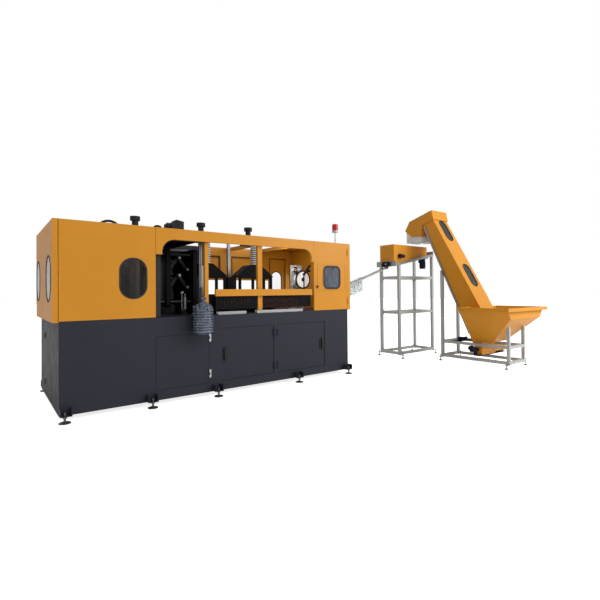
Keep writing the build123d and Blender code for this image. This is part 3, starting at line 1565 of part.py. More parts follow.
def corner_gussets(xs, zs, y, size, thickness):
    """Small triangles in the corners of a grid of tubes that stands in an XZ plane."""
    pieces = []
    half = stand_tube / 2
    for x, ways in xs:
        for z, turns in zs:
            for way in ways:
                for turn in turns:
                    cx, cz = x + way * half, z + turn * half
                    face = Polyline((cx, cz), (cx + way * size, cz), (cx, cz + turn * size), close=True)
                    pieces.append(front_sheet(make_face(face), y - thickness / 2, thickness))
    return pieces


def stand_bars(x_pair, y_pair, levels, heights):
    """Posts at four corners and a ring of rails at each level, as outer limits."""
    h = stand_tube / 2
    bars = []
    for y, top in zip(y_pair, heights):
        for x in x_pair:
            bars.append((x - h, x + h, y - h, y + h, stand_foot_height + lug_thickness, top))
    for z in levels:
        for y in y_pair:
            bars.append((x_pair[0] + h, x_pair[1] - h, y - h, y + h, z - h, z + h))
        for x in x_pair:
            bars.append((x - h, x + h, y_pair[0] + h, y_pair[1] - h, z - h, z + h))
    return bars


def stand_lugs(spots):
    """Lug plates that reach from the posts over the feet."""
    pieces = []
    h = stand_tube / 2
    z0 = stand_foot_height
    for x, y, (way_x, way_y) in spots:
        px, py = x - way_x * stand_lug, y - way_y * stand_lug
        x0, x1 = min(px, x) - h, max(px, x) + h
        y0, y1 = min(py, y) - h, max(py, y) + h
        pieces.append(block(x0, x1, y0, y1, z0, z0 + lug_thickness) - rod_z(x, y, z0 - 1, z0 + lug_thickness + 1, 8))
    return pieces




def make_feeder_stands():
    """Two stands of square tube: one under the unscrambler, one under elevator and tub."""
    h = stand_tube / 2
    top_right = deck(stand_one_right + h) + 1
    xs = (stand_one_left, stand_one_right)
    ys = (stand_one_front, stand_one_back)
    levels = (stand_low_rail, stand_shelf_low, stand_shelf_high)
    over = deck_strip(stand_one_left - 200, stand_one_right + 200, 300, 1100, 0, 500)
    first = [bar - over for bar in tubes(stand_bars(xs, ys, levels, (top_right, top_right)), stand_wall)]
    columns = ((xs[0], (1,)), (xs[1], (-1,)))
    rows = ((levels[0], (1,)), (levels[1], (-1, 1)), (levels[2], (-1,)))
    plates = corner_gussets(columns, rows, ys[0], gusset, 6) + corner_gussets(columns, rows, ys[1], gusset, 6)
    spots = stand_feet()
    first += plates + stand_lugs(spots[:4])
    xs = (stand_two_left, stand_two_right)
    ys = (stand_two_front, stand_two_back)
    high = stand_two_back_height + 60
    second = tubes(stand_bars(xs, ys, (stand_low_rail, stand_two_rail), (tub_rim - 60, high)), stand_wall)
    columns = ((xs[0], (1,)), (xs[1], (-1,)))
    rows = ((stand_low_rail, (1,)), (stand_two_rail, (-1,)))
    second += corner_gussets(columns, rows, ys[0], gusset, 6) + stand_lugs(spots[4:])
    second = [piece - tub_block(0) - casing_under(400) for piece in second]
    return group(first + second)


# Elevator and its hopper tub

casing_profile = ((-21.0, 3004.0), (-1110.0, 1048.0), (-1110.0, 190.0), (-1000.0, 190.0), (-955.0, 337.0),
                  (228.0, 2909.0))
under_low = casing_profile[4]
under_high = casing_profile[5]
under_angle = atan((under_high[1] - under_low[1]) / (under_high[0] - under_low[0]))
face_high = casing_profile[0]
face_low = casing_profile[1]
face_length = sqrt((face_high[0] - face_low[0]) ** 2 + (face_high[1] - face_low[1]) ** 2)
face_angle = atan((face_high[1] - face_low[1]) / (face_high[0] - face_low[0]))
tail_y = -1050.0
tail_z = 270.0
tail_radius = 74.0
tail_plate_left = 115.0
tail_plate_right = 415.0
slot_x = elevator_x + 28
slot_width = 212.0
slot_length = 510.0
slot_places = (335.0, 1442.0)


def under_point(z, offset):
    """Point of the casing's underside at height z, moved into the casing by offset."""
    y = under_low[0] + (z - under_low[1]) / tan(under_angle)
    return y - offset * sin(under_angle), z + offset * cos(under_angle)


def casing_under(depth):
    """Space above the underside of the elevator casing, between the stand's posts."""
    a, b = under_point(1200, 0), under_point(2900, 0)
    back = Polyline(a, b, (b[0] - depth, b[1]), (a[0] - depth, a[1]), close=True)
    return side_sheet(make_face(back), casing_left - 80, elevator_width + 160)


def slot_block(distance, grow, depth0, depth1):
    """Round-ended bar through the front face of the casing at a distance down the slope."""
    t = distance / face_length
    y = face_high[0] + t * (face_low[0] - face_high[0])
    z = face_high[1] + t * (face_low[1] - face_high[1])
    plane = Plane(origin=(slot_x, y, z), x_dir=(0, cos(face_angle), sin(face_angle)),
                  z_dir=(0, -sin(face_angle), cos(face_angle)))
    outline = RectangleRounded(slot_length + 2 * grow, slot_width + 2 * grow, slot_width / 2 + grow - 4)
    return extrude(plane.offset(depth0) * outline, depth1 - depth0)


def make_elevator_casing():
    """Sloping sheet casing, open at its head and, inside the tub, at its front."""
    t = elevator_sheet
    outer = side_sheet(make_face(Polyline(*casing_profile, close=True)), casing_left, elevator_width)
    (a, b, c, d, e, f) = casing_profile
    inner = Polyline((a[0] + 5 + 60, a[1] + 110), (b[0] + t, b[1] - 1), (c[0] + t, c[1] + t), (d[0] - t, d[1] + t),
                     (e[0] - t, e[1] + 2), (f[0] - 5 + 60, f[1] + 130), close=True)
    cavity = side_sheet(make_face(inner), casing_left + t, elevator_width - 2 * t)
    casing = outer - cavity
    casing = casing - block(casing_left + 30, casing_right - 30, b[0] - 1, b[0] + t + 2, tub_floor + 30, b[1] - 30)
    for distance in slot_places:
        casing = casing - slot_block(distance, 0, -40, 20)
    drum = rod_x(casing_left - 24, casing_right + tail_plate_right, tail_y, tail_z, tail_radius)
    drum = drum - side_sheet(make_face(inner), casing_left + t, elevator_width - 2 * t)
    shaft = rod_x(casing_left - tail_plate_left + 40, casing_left - 20, tail_y + 50, tail_z, 14)
    return join([casing, drum, shaft])


def make_slot_panes():
    """Dark panes in the two slot windows of the elevator."""
    return [slot_block(distance, -running_gap, -4, 1) for distance in slot_places]


head_profile = ((-30.0, 3140.0), (550.0, 2965.0), (665.0, 2775.0), (495.0, 2632.0), (230.0, 2625.0),
                (206.0, 2858.0), (-76.0, 2950.0))
head_overlap = 20.0
curtain_low = 2500.0


def make_elevator_head():
    """Folded head cover round the top of the casing, open below for the falling preforms."""
    t = elevator_sheet
    x0, x1 = casing_left - head_overlap, casing_right + head_overlap
    outline = make_face(Polyline(*head_profile, close=True))
    outer = side_sheet(outline, x0, x1 - x0)
    inner = side_sheet(offset(outline, -t), x0 + t, x1 - x0 - 2 * t)
    casing = side_sheet(make_face(Polyline(*casing_profile, close=True)), casing_left, elevator_width)
    drop = block(x0 + 20, x1 - 20, 245, 482, 2600, 2660)
    lip = side_sheet(make_face(Polyline((-34, 3146), (554, 2969), (549, 2955), (-33, 3130), close=True)),
                     x0 - 6, x1 - x0 + 12)
    return outer + lip - inner - casing - drop


def make_head_curtain():
    """Clear strips that hang round the drop opening of the head."""
    strips = []
    x0, x1 = casing_left - head_overlap + 20, casing_right + head_overlap - 20
    count = 9
    pitch = (x1 - x0) / count
    for y in (245, 479):
        for index in range(count):
            start = x0 + index * pitch
            strips.append(block(start + 1, start + pitch - 1, y, y + 3, curtain_low, 2640))
    (tip_y, tip_z), (heel_y, heel_z) = head_profile[2], head_profile[3]
    front_y = tip_y - 28
    front_z = tip_z - (tip_y - front_y) * (tip_z - heel_z) / (tip_y - heel_y)
    for index in range(count):
        start = x0 + index * pitch
        strips.append(block(start + 1, start + pitch - 1, front_y, front_y + 3, curtain_low, front_z))
    for x in (x0, x1 - 3):
        for index in range(4):
            start = 250 + index * 57
            strips.append(block(x, x + 3, start + 1, start + 56, curtain_low, 2640))
    return group(strips)


rail_low_z = 580.0
rail_high_z = 2800.0


def make_elevator_side_rails():
    """Bright bars along both lower edges of the casing."""
    rails = []
    for x in (casing_left - 20, casing_right):
        a, b = under_point(rail_low_z, 0), under_point(rail_high_z, 0)
        c, d = under_point(rail_high_z, 40), under_point(rail_low_z, 40)
        rails.append(side_sheet(make_face(Polyline(a, b, c, d, close=True)), x, 20))
    return group(rails)


pulley_radius = 45.0
belt_thickness = 8.0
belt_low_z = 420.0
belt_high_z = 2830.0
belt_offset = 105.0
cleat_height = 30.0
cleat_count = 13


def make_elevator_belt():
    """Cleated belt on its two pulleys, with shafts into the casing sides."""
    low = under_point(belt_low_z, belt_offset)
    high = under_point(belt_high_z, belt_offset)
    length = sqrt((high[0] - low[0]) ** 2 + (high[1] - low[1]) ** 2)
    middle = ((low[0] + high[0]) / 2, (low[1] + high[1]) / 2)
    x0, x1 = casing_left + 30, casing_right - 30
    turn = degrees(under_angle)
    ring = SlotCenterToCenter(length, 2 * (pulley_radius + belt_thickness))
    ring = ring - SlotCenterToCenter(length, 2 * pulley_radius - 1)
    band = side_sheet(Pos(middle[0], middle[1]) * Rot(0, 0, turn) * ring, x0, x1 - x0)
    pieces = [band]
    for y, z in (low, high):
        pieces.append(rod_x(x0 + 8, x1 - 8, y, z, pulley_radius))
        pieces.append(rod_x(casing_left + elevator_sheet, casing_right - elevator_sheet, y, z, 14))
    step = length / cleat_count
    for index in range(cleat_count):
        along = (index + 0.5) * step - length / 2
        for side in (-1, 1):
            plate = Pos(along, side * (pulley_radius + belt_thickness + cleat_height / 2 - 1)) * Rectangle(6, cleat_height)
            placed = Pos(middle[0], middle[1]) * Rot(0, 0, turn) * plate
            pieces.append(side_sheet(placed, x0 + 6, x1 - x0 - 12))
    return join(pieces)


def tub_block(shrink):
    """Outside of the tub, made smaller all round by shrink. Only its front has an upright lip."""
    t = shrink
    left = elevator_x - tub_width / 2 + tub_rim_width + t
    right = elevator_x + tub_width / 2 - tub_rim_width - t
    front = tub_front + tub_rim_width + t
    back = tub_back - t
    knee = tub_rim - tub_lip
    floor = tub_floor + t
    top = tub_rim + (1 if t else 0)
    side = Polyline((tub_mouth_front + t, floor), (front, knee), (front, top), (back, top), (back, knee),
                    (tub_mouth_back - t, floor), close=True)
    face = Polyline((casing_left + t, floor), (left, top), (right, top), (casing_right - t, floor), close=True)
    across = side_sheet(make_face(side), elevator_x - tub_width, 2 * tub_width)
    along = front_sheet(make_face(face), tub_front, tub_mouth_back - tub_front)
    return across & along


def make_hopper_tub():
    """Funnel of folded sheet round the foot of the elevator, with a turned-down rim."""
    x0, x1 = elevator_x - tub_width / 2, elevator_x + tub_width / 2
    y0 = tub_front
    rim = block(x0, x1, y0, tub_back, tub_rim - 4, tub_rim)
    skirt = block(x0, x1, y0, tub_back, tub_rim - 60, tub_rim)
    skirt = skirt - block(x0 + 4, x1 - 4, y0 + 4, tub_back + 1, tub_rim - 61, tub_rim + 1)
    tub = tub_block(0) + rim + skirt - tub_block(elevator_sheet)
    grown = make_face(Polyline(*casing_profile, close=True))
    hole = side_sheet(offset(grown, 0.0), casing_left, elevator_width)
    return tub - hole


# All nodes, moved so that the origin lies on the floor under the middle of the line

nodes = {
    "base_frame": make_base_frame(),
    "machine_bed": make_machine_bed(),
    "base_panels": make_base_panels(),
    "levelling_feet": make_levelling_feet(),
    "air_receiver": make_air_receiver(),
    "door_hinge_leaves": make_door_hinge_leaves(),
    "end_covers": make_end_covers(),
    "front_panel_left": make_front_panel_left(),
    "header_fascia": make_header_fascia(),
    "rear_wall": make_rear_wall(),
    "roof_panels": make_roof_panels(),
    "guard_beam": make_guard_beam(),
    "front_rails": make_front_rails(),
    "window_seals": make_window_seals(),
    "window_panes": group([make_window_panes()] + make_slot_panes()),
    "clamp_plates": make_clamp_plates(),
    "tie_bars": make_tie_bars(),
    "mould_half_fixed": make_mould_half_fixed(),
    "stretch_unit": make_stretch_unit(),
    "bottle": make_bottle(),
    "bottle_hanger": make_bottle_hanger(),
    "oven_modules": make_oven_modules(),
    "exhaust_hoods": make_exhaust_hoods(),
    "flex_ducts": make_flex_ducts(),
    "exhaust_fans": make_exhaust_fans(),
    "preform_chain": make_preform_chain(),
    "roof_fittings": make_roof_fittings(),
    "signal_lamp_base": make_signal_lamp_base(),
    "signal_lamp_lens": make_signal_lamp_lens(),
    "infeed_frame": make_infeed_frame(),
    "chute_rails": make_chute_rails(),
    "preforms": make_preforms(),
    "feeder_stands": make_feeder_stands(),
    "unscrambler_frame": make_unscrambler_frame(),
    "unscrambler_hopper": make_unscrambler_hopper(),
    "feeder_motors": make_feeder_motors(),
    "elevator_casing": make_elevator_casing(),
    "elevator_head": make_elevator_head(),
    "head_curtain": make_head_curtain(),
    "elevator_side_rails": make_elevator_side_rails(),
    "elevator_belt": make_elevator_belt(),
    "hopper_tub": make_hopper_tub(),
    "door_left": make_base_door("left"),
    "door_middle": make_base_door("middle"),
    "door_right": make_base_door("right"),
    "handle_middle": make_door_handle("middle"),
    "handle_right": make_door_handle("right"),
    "guard_door": make_guard_door(),
    "guard_door_pane": make_guard_door_pane(),
    "guard_door_knob": make_guard_door_knob(),
    "moving_platen": make_moving_platen(),
    "mould_half_moving": make_mould_half_moving(),
    "toggle_upper_outer": make_toggle_outer("upper"),
    "toggle_upper_inner": make_toggle_inner("upper"),
    "toggle_lower_outer": make_toggle_outer("lower"),
    "toggle_lower_inner": make_toggle_inner("lower"),
    "stretch_rod": make_stretch_rod(),
    "roller_front": make_roller(0),
    "roller_rear": make_roller(1),
    "kick_wheel": make_kick_wheel(),
}

boxes = [shape.bounding_box() for shape in nodes.values()]
shift_x = -(min(box.min.X for box in boxes) + max(box.max.X for box in boxes)) / 2
shift_y = -(min(box.min.Y for box in boxes) + max(box.max.Y for box in boxes)) / 2
shift_z = -min(box.min.Z for box in boxes)
os.makedirs("parts", exist_ok=True)
for name, shape in nodes.items():
    placed = Pos(shift_x, shift_y, shift_z) * Compound(shape.solids())
    export_step(placed, f"parts/{name}.step")
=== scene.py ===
"""Dresses the blow moulding line: finishes, fasteners, bottle, chain and the studio round it."""

import math

import bmesh
import bpy
from mathutils import Matrix, Vector


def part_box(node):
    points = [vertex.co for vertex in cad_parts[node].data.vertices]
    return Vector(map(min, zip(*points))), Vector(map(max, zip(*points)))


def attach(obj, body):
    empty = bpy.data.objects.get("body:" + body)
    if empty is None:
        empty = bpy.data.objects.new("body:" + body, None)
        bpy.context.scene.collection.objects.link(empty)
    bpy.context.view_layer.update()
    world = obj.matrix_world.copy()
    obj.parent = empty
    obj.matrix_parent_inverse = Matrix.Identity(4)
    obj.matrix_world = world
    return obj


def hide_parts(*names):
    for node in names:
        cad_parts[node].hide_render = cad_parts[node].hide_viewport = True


bl_info = {
    "name": "Blow Moulding Line",
    "version": (1, 0, 0),
    "blender": (4, 5, 0),
    "location": "View3D > Sidebar > Moulding Line",
    "description": "Finishes and small parts of a blow moulding line with its preform feeder",
    "category": "Object",
}

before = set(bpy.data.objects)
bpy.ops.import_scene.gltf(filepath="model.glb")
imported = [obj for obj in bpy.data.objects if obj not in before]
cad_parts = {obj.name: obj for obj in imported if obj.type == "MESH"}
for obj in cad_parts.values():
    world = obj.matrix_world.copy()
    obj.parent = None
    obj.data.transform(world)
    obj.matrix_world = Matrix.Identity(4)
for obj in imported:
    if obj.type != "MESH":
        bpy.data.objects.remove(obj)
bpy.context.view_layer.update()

# The machine's own corner lies here in the row frame, in millimetres
MACHINE_X = -3935.0
MACHINE_Y = -21.0

# Foot of the bottle's lowest wave and the height of one wave, in metres
BOTTLE_LOW = 0.920
BOTTLE_WAVE = 0.0345

# Lowest groove of the oven ducts and the height of one rib, in metres
DUCT_LOW = 1.865
DUCT_RIB = 0.0345

# Panes left of END_PANE are in the end wall, and panes behind REAR_PANE in the rear wall, in metres
END_PANE = -3.91
REAR_PANE = 0.25

# Camera position in millimetres, its shift, and the light of the studio
CAMERA_AT = (-641.4, -5251.1, 1433.8)
CAMERA_SHIFT = -0.02137
KEY_SPREAD = math.radians(24)
MOULD_LAMP_SHARE = 2.6
FLOOR_HALF = 60.0
FLOOR_GLOW = 0.80

ORIGIN = Vector((0, 0, 0))
FRONT = Vector((0, -1, 0))
BACK = Vector((0, 1, 0))
RIGHT = Vector((1, 0, 0))
DOWN = Vector((0, 0, -1))


def place(x, y, z):
    """Point given in millimetres from the machine's front left corner."""
    return Vector(((x + MACHINE_X) / 1000, (y + MACHINE_Y) / 1000, z / 1000))


# Sizes and colours that a user would change


def colour_setting(label, use, default):
    return bpy.props.FloatVectorProperty(name=label, description=use, subtype="COLOR", size=3, default=default)


def number_setting(label, use, default, **more):
    return bpy.props.FloatProperty(name=label, description=use, default=default, **more)


class PaintColours(bpy.types.PropertyGroup):
    """Colours of the painted sheet and tube."""

    orange: colour_setting("Guard orange", "Powder coat of the guarding, the elevator and the tub",
                           (0.58, 0.240, 0.017))
    slate: colour_setting("Base slate", "Powder coat of the base, its doors and its frame", (0.026, 0.028, 0.038))
    stand_grey: colour_setting("Stand grey", "Silver grey paint of the square tube stands", (0.44, 0.45, 0.43))
    enamel_black: colour_setting("Oven black", "Heat-proof enamel of hoods, lamp boxes and clamp plates",
                                 (0.004, 0.004, 0.0045))
    motor_blue: colour_setting("Motor blue", "Dark blue-black enamel of the feeder motors", (0.010, 0.012, 0.026))


class StudioSettings(bpy.types.PropertyGroup):
    """Camera and light of the studio."""

    lens: number_setting("Lens", "Focal length of the camera", 24.63, min=8.0, unit="CAMERA")
    yaw: number_setting("Turn", "How far the camera is turned to the right of the machine's depth axis",
                        math.radians(37.4343), subtype="ANGLE")
    pitch: number_setting("Tilt", "How far the camera looks up", math.radians(0.6108), subtype="ANGLE")
    roll: number_setting("Roll", "How far the camera leans", math.radians(0.4476), subtype="ANGLE")
    ambient: number_setting("Room light", "Strength of the even light of the room", 0.62, min=0.0)
    key: number_setting("Key light", "Strength of the distant lamp at the front right", 0.70, min=0.0)
    panel: number_setting("Panel light", "Power of the broad lamp beside the feeder", 340.0, min=0.0, unit="POWER")
    inside: number_setting("Inside lamps", "Power of the oven bay's lamp. The mould's lamp follows it",
                           7.0, min=0.0, unit="POWER")


# Materials


def fill(node, **values):
    """Sets inputs of a node by name. Underscores stand for spaces."""
    for socket, value in values.items():
        node.inputs[socket.replace("_", " ")].default_value = value
    return node


def calc(tree, operation, *values):
    """Result of a math node. Each value is a number or the socket that gives it."""
    node = tree.nodes.new("ShaderNodeMath")
    node.operation = operation
    for socket, value in zip(node.inputs, values):
        if isinstance(value, float):
            socket.default_value = value
        else:
            tree.links.new(value, socket)
    return node.outputs["Value"]


def direct_rays(tree):
    """1 for rays from the camera and rays through clear pieces, 0 for all others."""
    path = tree.nodes.new("ShaderNodeLightPath")
    return calc(tree, "MAXIMUM", path.outputs["Is Camera Ray"], path.outputs["Is Transmission Ray"])


class Wiring:
    """Node tree of one material, with short calls for the nodes that the finishes share."""

    def __init__(self, name):
        self.material = bpy.data.materials.new(name)
        self.material.use_nodes = True
        self.tree = self.material.node_tree
        self.nodes = self.tree.nodes
        self.shader = self.nodes["Principled BSDF"]
        self.where = self.nodes.new("ShaderNodeTexCoord").outputs["Object"]

    def link(self, source, target):
        self.tree.links.new(source, target)

    def make(self, kind, **values):
        """Node with values in its inputs."""
        return fill(self.nodes.new(kind), **values)

    def stretch(self, scale):
        """Object coordinates, stretched by scale."""
        mapping = self.make("ShaderNodeMapping", Scale=scale)
        self.link(self.where, mapping.inputs["Vector"])
        return mapping.outputs["Vector"]

    def axis(self, letter):
        """Object coordinate on one axis."""
        split = self.nodes.new("ShaderNodeSeparateXYZ")
        self.link(self.where, split.inputs["Vector"])
        return split.outputs[letter]

    def turns(self, low, pitch):
        """Height above low, counted in pitches."""
        node = self.make("ShaderNodeMapRange", From_Min=low, From_Max=low + pitch)
        node.clamp = False
        self.link(self.axis("Z"), node.inputs["Value"])
        return node.outputs["Result"]

    def noise(self, scale, detail=3.0, roughness=0.55, vector=None):
        node = self.make("ShaderNodeTexNoise", Scale=scale, Detail=detail, Roughness=roughness)
        self.link(vector or self.where, node.inputs["Vector"])
        return node.outputs["Fac"]

    def cells(self, scale):
        node = self.make("ShaderNodeTexVoronoi", Scale=scale)
        self.link(self.where, node.inputs["Vector"])
        return node.outputs["Distance"]

    def ramp(self, source, low, high, start=0.35, end=0.65):
        """Blend from the low to the high colour as source runs from start to end."""
        node = self.nodes.new("ShaderNodeValToRGB")
        for element, position, colour in zip(node.color_ramp.elements, (start, end), (low, high)):
            element.position = position
            element.color = (*colour, 1)
        self.link(source, node.inputs["Fac"])
        return node.outputs["Color"]

    def span(self, source, low, high, start=0.3, end=0.7):
        """Number that runs from low to high as source runs from start to end."""
        node = self.make("ShaderNodeMapRange", From_Min=start, From_Max=end, To_Min=low, To_Max=high)
        self.link(source, node.inputs["Value"])
        return node.outputs["Result"]

    def mix(self, factor, first, second):
        node = self.nodes.new("ShaderNodeMix")
        node.data_type = "RGBA"
        self.link(factor, node.inputs["Factor"])
        self.link(first, node.inputs[6])
        self.link(second, node.inputs[7])
        return node.outputs[2]

    def bump(self, height, strength, distance, normal=None):
        node = self.make("ShaderNodeBump", Strength=strength, Distance=distance)
        self.link(height, node.inputs["Height"])
        if normal:
            self.link(normal, node.inputs["Normal"])
        return node.outputs["Normal"]

    def calc(self, operation, *values):
        return calc(self.tree, operation, *values)

    def finish(self, colour, roughness, normal, alpha=None, **values):
        """Feeds the shader and gives the material."""
        sources = {"Base Color": colour, "Roughness": roughness, "Normal": normal, "Alpha": alpha}
        for socket, source in sources.items():
            if source:
                self.link(source, self.shader.inputs[socket])
        fill(self.shader, **values)
        return self.material


def shade(colour, factor):
    return tuple(min(1.0, part * factor) for part in colour)


def powder_coat(name, colour, gloss, dust, sheen):
    """Oven-cured powder: fine orange peel, faint uneven shade, dust marks near scuffs."""
    w = Wiring(name)
    base = w.ramp(w.noise(0.9, 4.0, 0.6), shade(colour, 0.95), shade(colour, 1.05), 0.3, 0.7)
    scuff = w.span(w.noise(38.0, 5.0, 0.7, w.stretch((1.0, 1.0, 0.35))), 0.0, dust, 0.60, 0.78)
    pale = w.ramp(w.noise(4.0), shade(colour, 1.12), shade(colour, 1.22))
    rough = w.span(w.noise(7.0, 4.0), gloss - 0.05, gloss + 0.07)
    peel = w.bump(w.noise(420.0, 2.0, 0.5), 0.10, 0.0006)
    waves = w.bump(w.noise(1.6, 2.0), 0.10, 0.006, peel)
    return w.finish(w.mix(scuff, base, pale), rough, waves, Specular_IOR_Level=sheen)


def oven_enamel(name, colour):
    """Heat-proof enamel with dull heat marks."""
    w = Wiring(name)
    marks = w.ramp(w.noise(9.0, 5.0, 0.65), shade(colour, 0.8), shade(colour, 1.7), 0.35, 0.75)
    rough = w.span(w.noise(22.0, 4.0), 0.42, 0.66)
    return w.finish(marks, rough, w.bump(w.noise(260.0, 2.0), 0.12, 0.0006), Specular_IOR_Level=0.08)


def tube_paint(name, colour):
    """Silver grey lacquer on welded tube, with faint drawing lines and handling marks."""
    w = Wiring(name)
    lines = w.noise(60.0, 3.0, 0.6, w.stretch((1.0, 1.0, 0.06)))
    tone = w.ramp(lines, shade(colour, 0.88), shade(colour, 1.10), 0.35, 0.7)
    marks = w.span(w.noise(24.0, 5.0, 0.7), 0.0, 0.5, 0.58, 0.75)
    dull = w.ramp(w.noise(6.0), shade(colour, 0.60), shade(colour, 0.78))
    rough = w.span(w.noise(12.0), 0.34, 0.52)
    return w.finish(w.mix(marks, tone, dull), rough, w.bump(w.noise(300.0, 2.0), 0.10, 0.0005), Metallic=0.35)


def brushed_metal(name, colour, along, rough):
    """Metal with fine grinding lines. along is the stretch of the lines on each axis."""
    w = Wiring(name)
    lines = w.noise(240.0, 3.0, 0.6, w.stretch(along))
    tone = w.ramp(lines, shade(colour, 0.82), shade(colour, 1.12), 0.3, 0.7)
    return w.finish(tone, w.span(lines, rough - 0.06, rough + 0.12), w.bump(lines, 0.16, 0.0004), Metallic=0.92)


def milled_block(name, colour):
    """Machined tool metal with cutter paths and a thin oil film."""
    w = Wiring(name)
    paths = w.noise(90.0, 2.0, 0.5, w.stretch((0.3, 1.0, 0.05)))
    film = w.noise(5.0, 5.0, 0.6)
    tone = w.ramp(paths, shade(colour, 0.75), shade(colour, 1.1), 0.3, 0.7)
    oiled = w.mix(w.span(film, 0.0, 0.6, 0.45, 0.7), tone, w.ramp(film, shade(colour, 0.45), shade(colour, 0.7)))
    return w.finish(oiled, w.span(film, 0.25, 0.5), w.bump(paths, 0.12, 0.0005), Metallic=0.85)


def moulded_plastic(name, colour, rough, grain, glow=0.0):
    """Injection moulded plastic with a fine grain and slight shade changes. A glow above 0 makes it glow as
    painted light, though it is no lamp.
    """
    w = Wiring(name)
    tone = w.ramp(w.noise(14.0, 4.0), shade(colour, 0.9), shade(colour, 1.12))
    return w.finish(tone, w.span(w.noise(30.0), rough - 0.05, rough + 0.08), w.bump(w.cells(grain), 0.10, 0.0004),
                    Specular_IOR_Level=0.28, Emission_Color=(1, 1, 1, 1), Emission_Strength=glow)


def ribbed_duct(name, colour):
    """Ribbed duct with dust and shadow in its grooves, one groove to each rib of the duct."""
    w = Wiring(name)
    part = w.calc("FRACT", w.turns(DUCT_LOW, DUCT_RIB))
    depth = w.calc("ABSOLUTE", w.calc("SUBTRACT", part, 0.6))
    grooves = w.ramp(depth, colour, shade(colour, 0.10), 0.16, 0.34)
    dusty = w.ramp(w.noise(12.0, 4.0), shade(colour, 0.55), shade(colour, 0.8))
    dust = w.span(w.noise(20.0, 4.0), 0.0, 0.4, 0.5, 0.7)
    rough = w.span(w.noise(30.0), 0.45, 0.6)
    return w.finish(w.mix(dust, grooves, dusty), rough, w.bump(w.noise(200.0, 2.0), 0.1, 0.0005))


def soft_rubber(name, colour):
    w = Wiring(name)
    bloom = w.noise(16.0, 5.0, 0.65)
    tone = w.ramp(bloom, shade(colour, 0.75), shade(colour, 1.5), 0.35, 0.75)
    return w.finish(tone, w.span(bloom, 0.55, 0.8), w.bump(w.noise(500.0, 2.0), 0.2, 0.0005))


def clear_plastic(name, colour, rough, through, ior):
    """Clear blown or pressed plastic with faint flow lines."""
    w = Wiring(name)
    flow = w.noise(18.0, 3.0, 0.5, w.stretch((1.0, 1.0, 0.15)))
    tone = w.ramp(flow, shade(colour, 0.9), shade(colour, 1.05))
    return w.finish(tone, w.span(w.noise(40.0), rough, rough + 0.08), w.bump(flow, 0.08, 0.001),
                    Transmission_Weight=through, IOR=ior)


def blown_bottle(name, dark, light):
    """Blue tinted blown plastic with painted shade in the grooves between its waves and a painted highlight on
    each wave, mottled dark and pale at its shoulder.
    """
    w = Wiring(name)
    swing = w.calc("PINGPONG", w.turns(BOTTLE_LOW, BOTTLE_WAVE), 0.5)
    # Painted shade in the grooves between the waves and a painted highlight on each wave
    wave_shade_and_highlight = w.ramp(swing, light, dark, 0.16, 0.40)
    blotch = w.noise(26.0, 4.0, 0.6, w.stretch((1.0, 1.0, 0.5)))
    mottle = w.ramp(blotch, dark, shade(light, 1.3), 0.40, 0.62)
    shoulder = w.span(w.axis("Z"), 0.25, 0.85, BOTTLE_LOW + 0.26, BOTTLE_LOW + 0.30)
    return w.finish(w.mix(shoulder, wave_shade_and_highlight, mottle), w.span(blotch, 0.05, 0.16), w.bump(blotch, 0.10, 0.002),
                    w.span(blotch, 0.60, 0.84), Specular_IOR_Level=0.6)


def window_film(name, colour, cover, rear):
    """Clear acrylic with wipe marks: tinted at the front, thin behind and frosted in the end wall."""
    w = Wiring(name)
    wipe = w.noise(5.0, 4.0, 0.6, w.stretch((1.0, 1.0, 0.4)))
    tint = w.ramp(wipe, shade(colour, 0.8), shade(colour, 2.2), 0.35, 0.7)
    frost = w.ramp(wipe, (0.36, 0.36, 0.33), (0.52, 0.52, 0.48), 0.35, 0.7)
    end = w.span(w.axis("X"), 1.0, 0.0, END_PANE, END_PANE + 0.01)
    plain = w.span(w.axis("Y"), cover, rear, REAR_PANE - 0.10, REAR_PANE)
    film = w.calc("MAXIMUM", w.calc("MULTIPLY", end, 0.8), plain)
    streaks = w.calc("MULTIPLY", film, w.span(wipe, 0.92, 1.12))
    warp = w.bump(w.noise(2.2, 1.0), 0.05, 0.004)
    return w.finish(w.mix(end, tint, frost), w.span(wipe, 0.03, 0.10), warp, streaks, Specular_IOR_Level=0.6)


def shop_floor(name):
    """Pale floor that keeps the shadows. It glows where the camera sees it, so that it shows white."""
    w = Wiring(name)
    speck = w.make("ShaderNodeTexNoise", Scale=30.0)
    bump = w.make("ShaderNodeBump", Strength=0.03)
    w.link(speck.outputs["Fac"], bump.inputs["Height"])
    w.finish(None, None, bump.outputs["Normal"], Base_Color=(0.93, 0.93, 0.93, 1), Roughness=0.9,
             Specular_IOR_Level=0.1)
    glow = w.nodes.new("ShaderNodeEmission")
    w.link(w.calc("MULTIPLY", direct_rays(w.tree), FLOOR_GLOW), glow.inputs["Strength"])
    both = w.nodes.new("ShaderNodeAddShader")
    w.link(w.shader.outputs["BSDF"], both.inputs[0])
    w.link(glow.outputs["Emission"], both.inputs[1])
    w.link(both.outputs["Shader"], w.nodes["Material Output"].inputs["Surface"])
    return w.material


finishes = {}


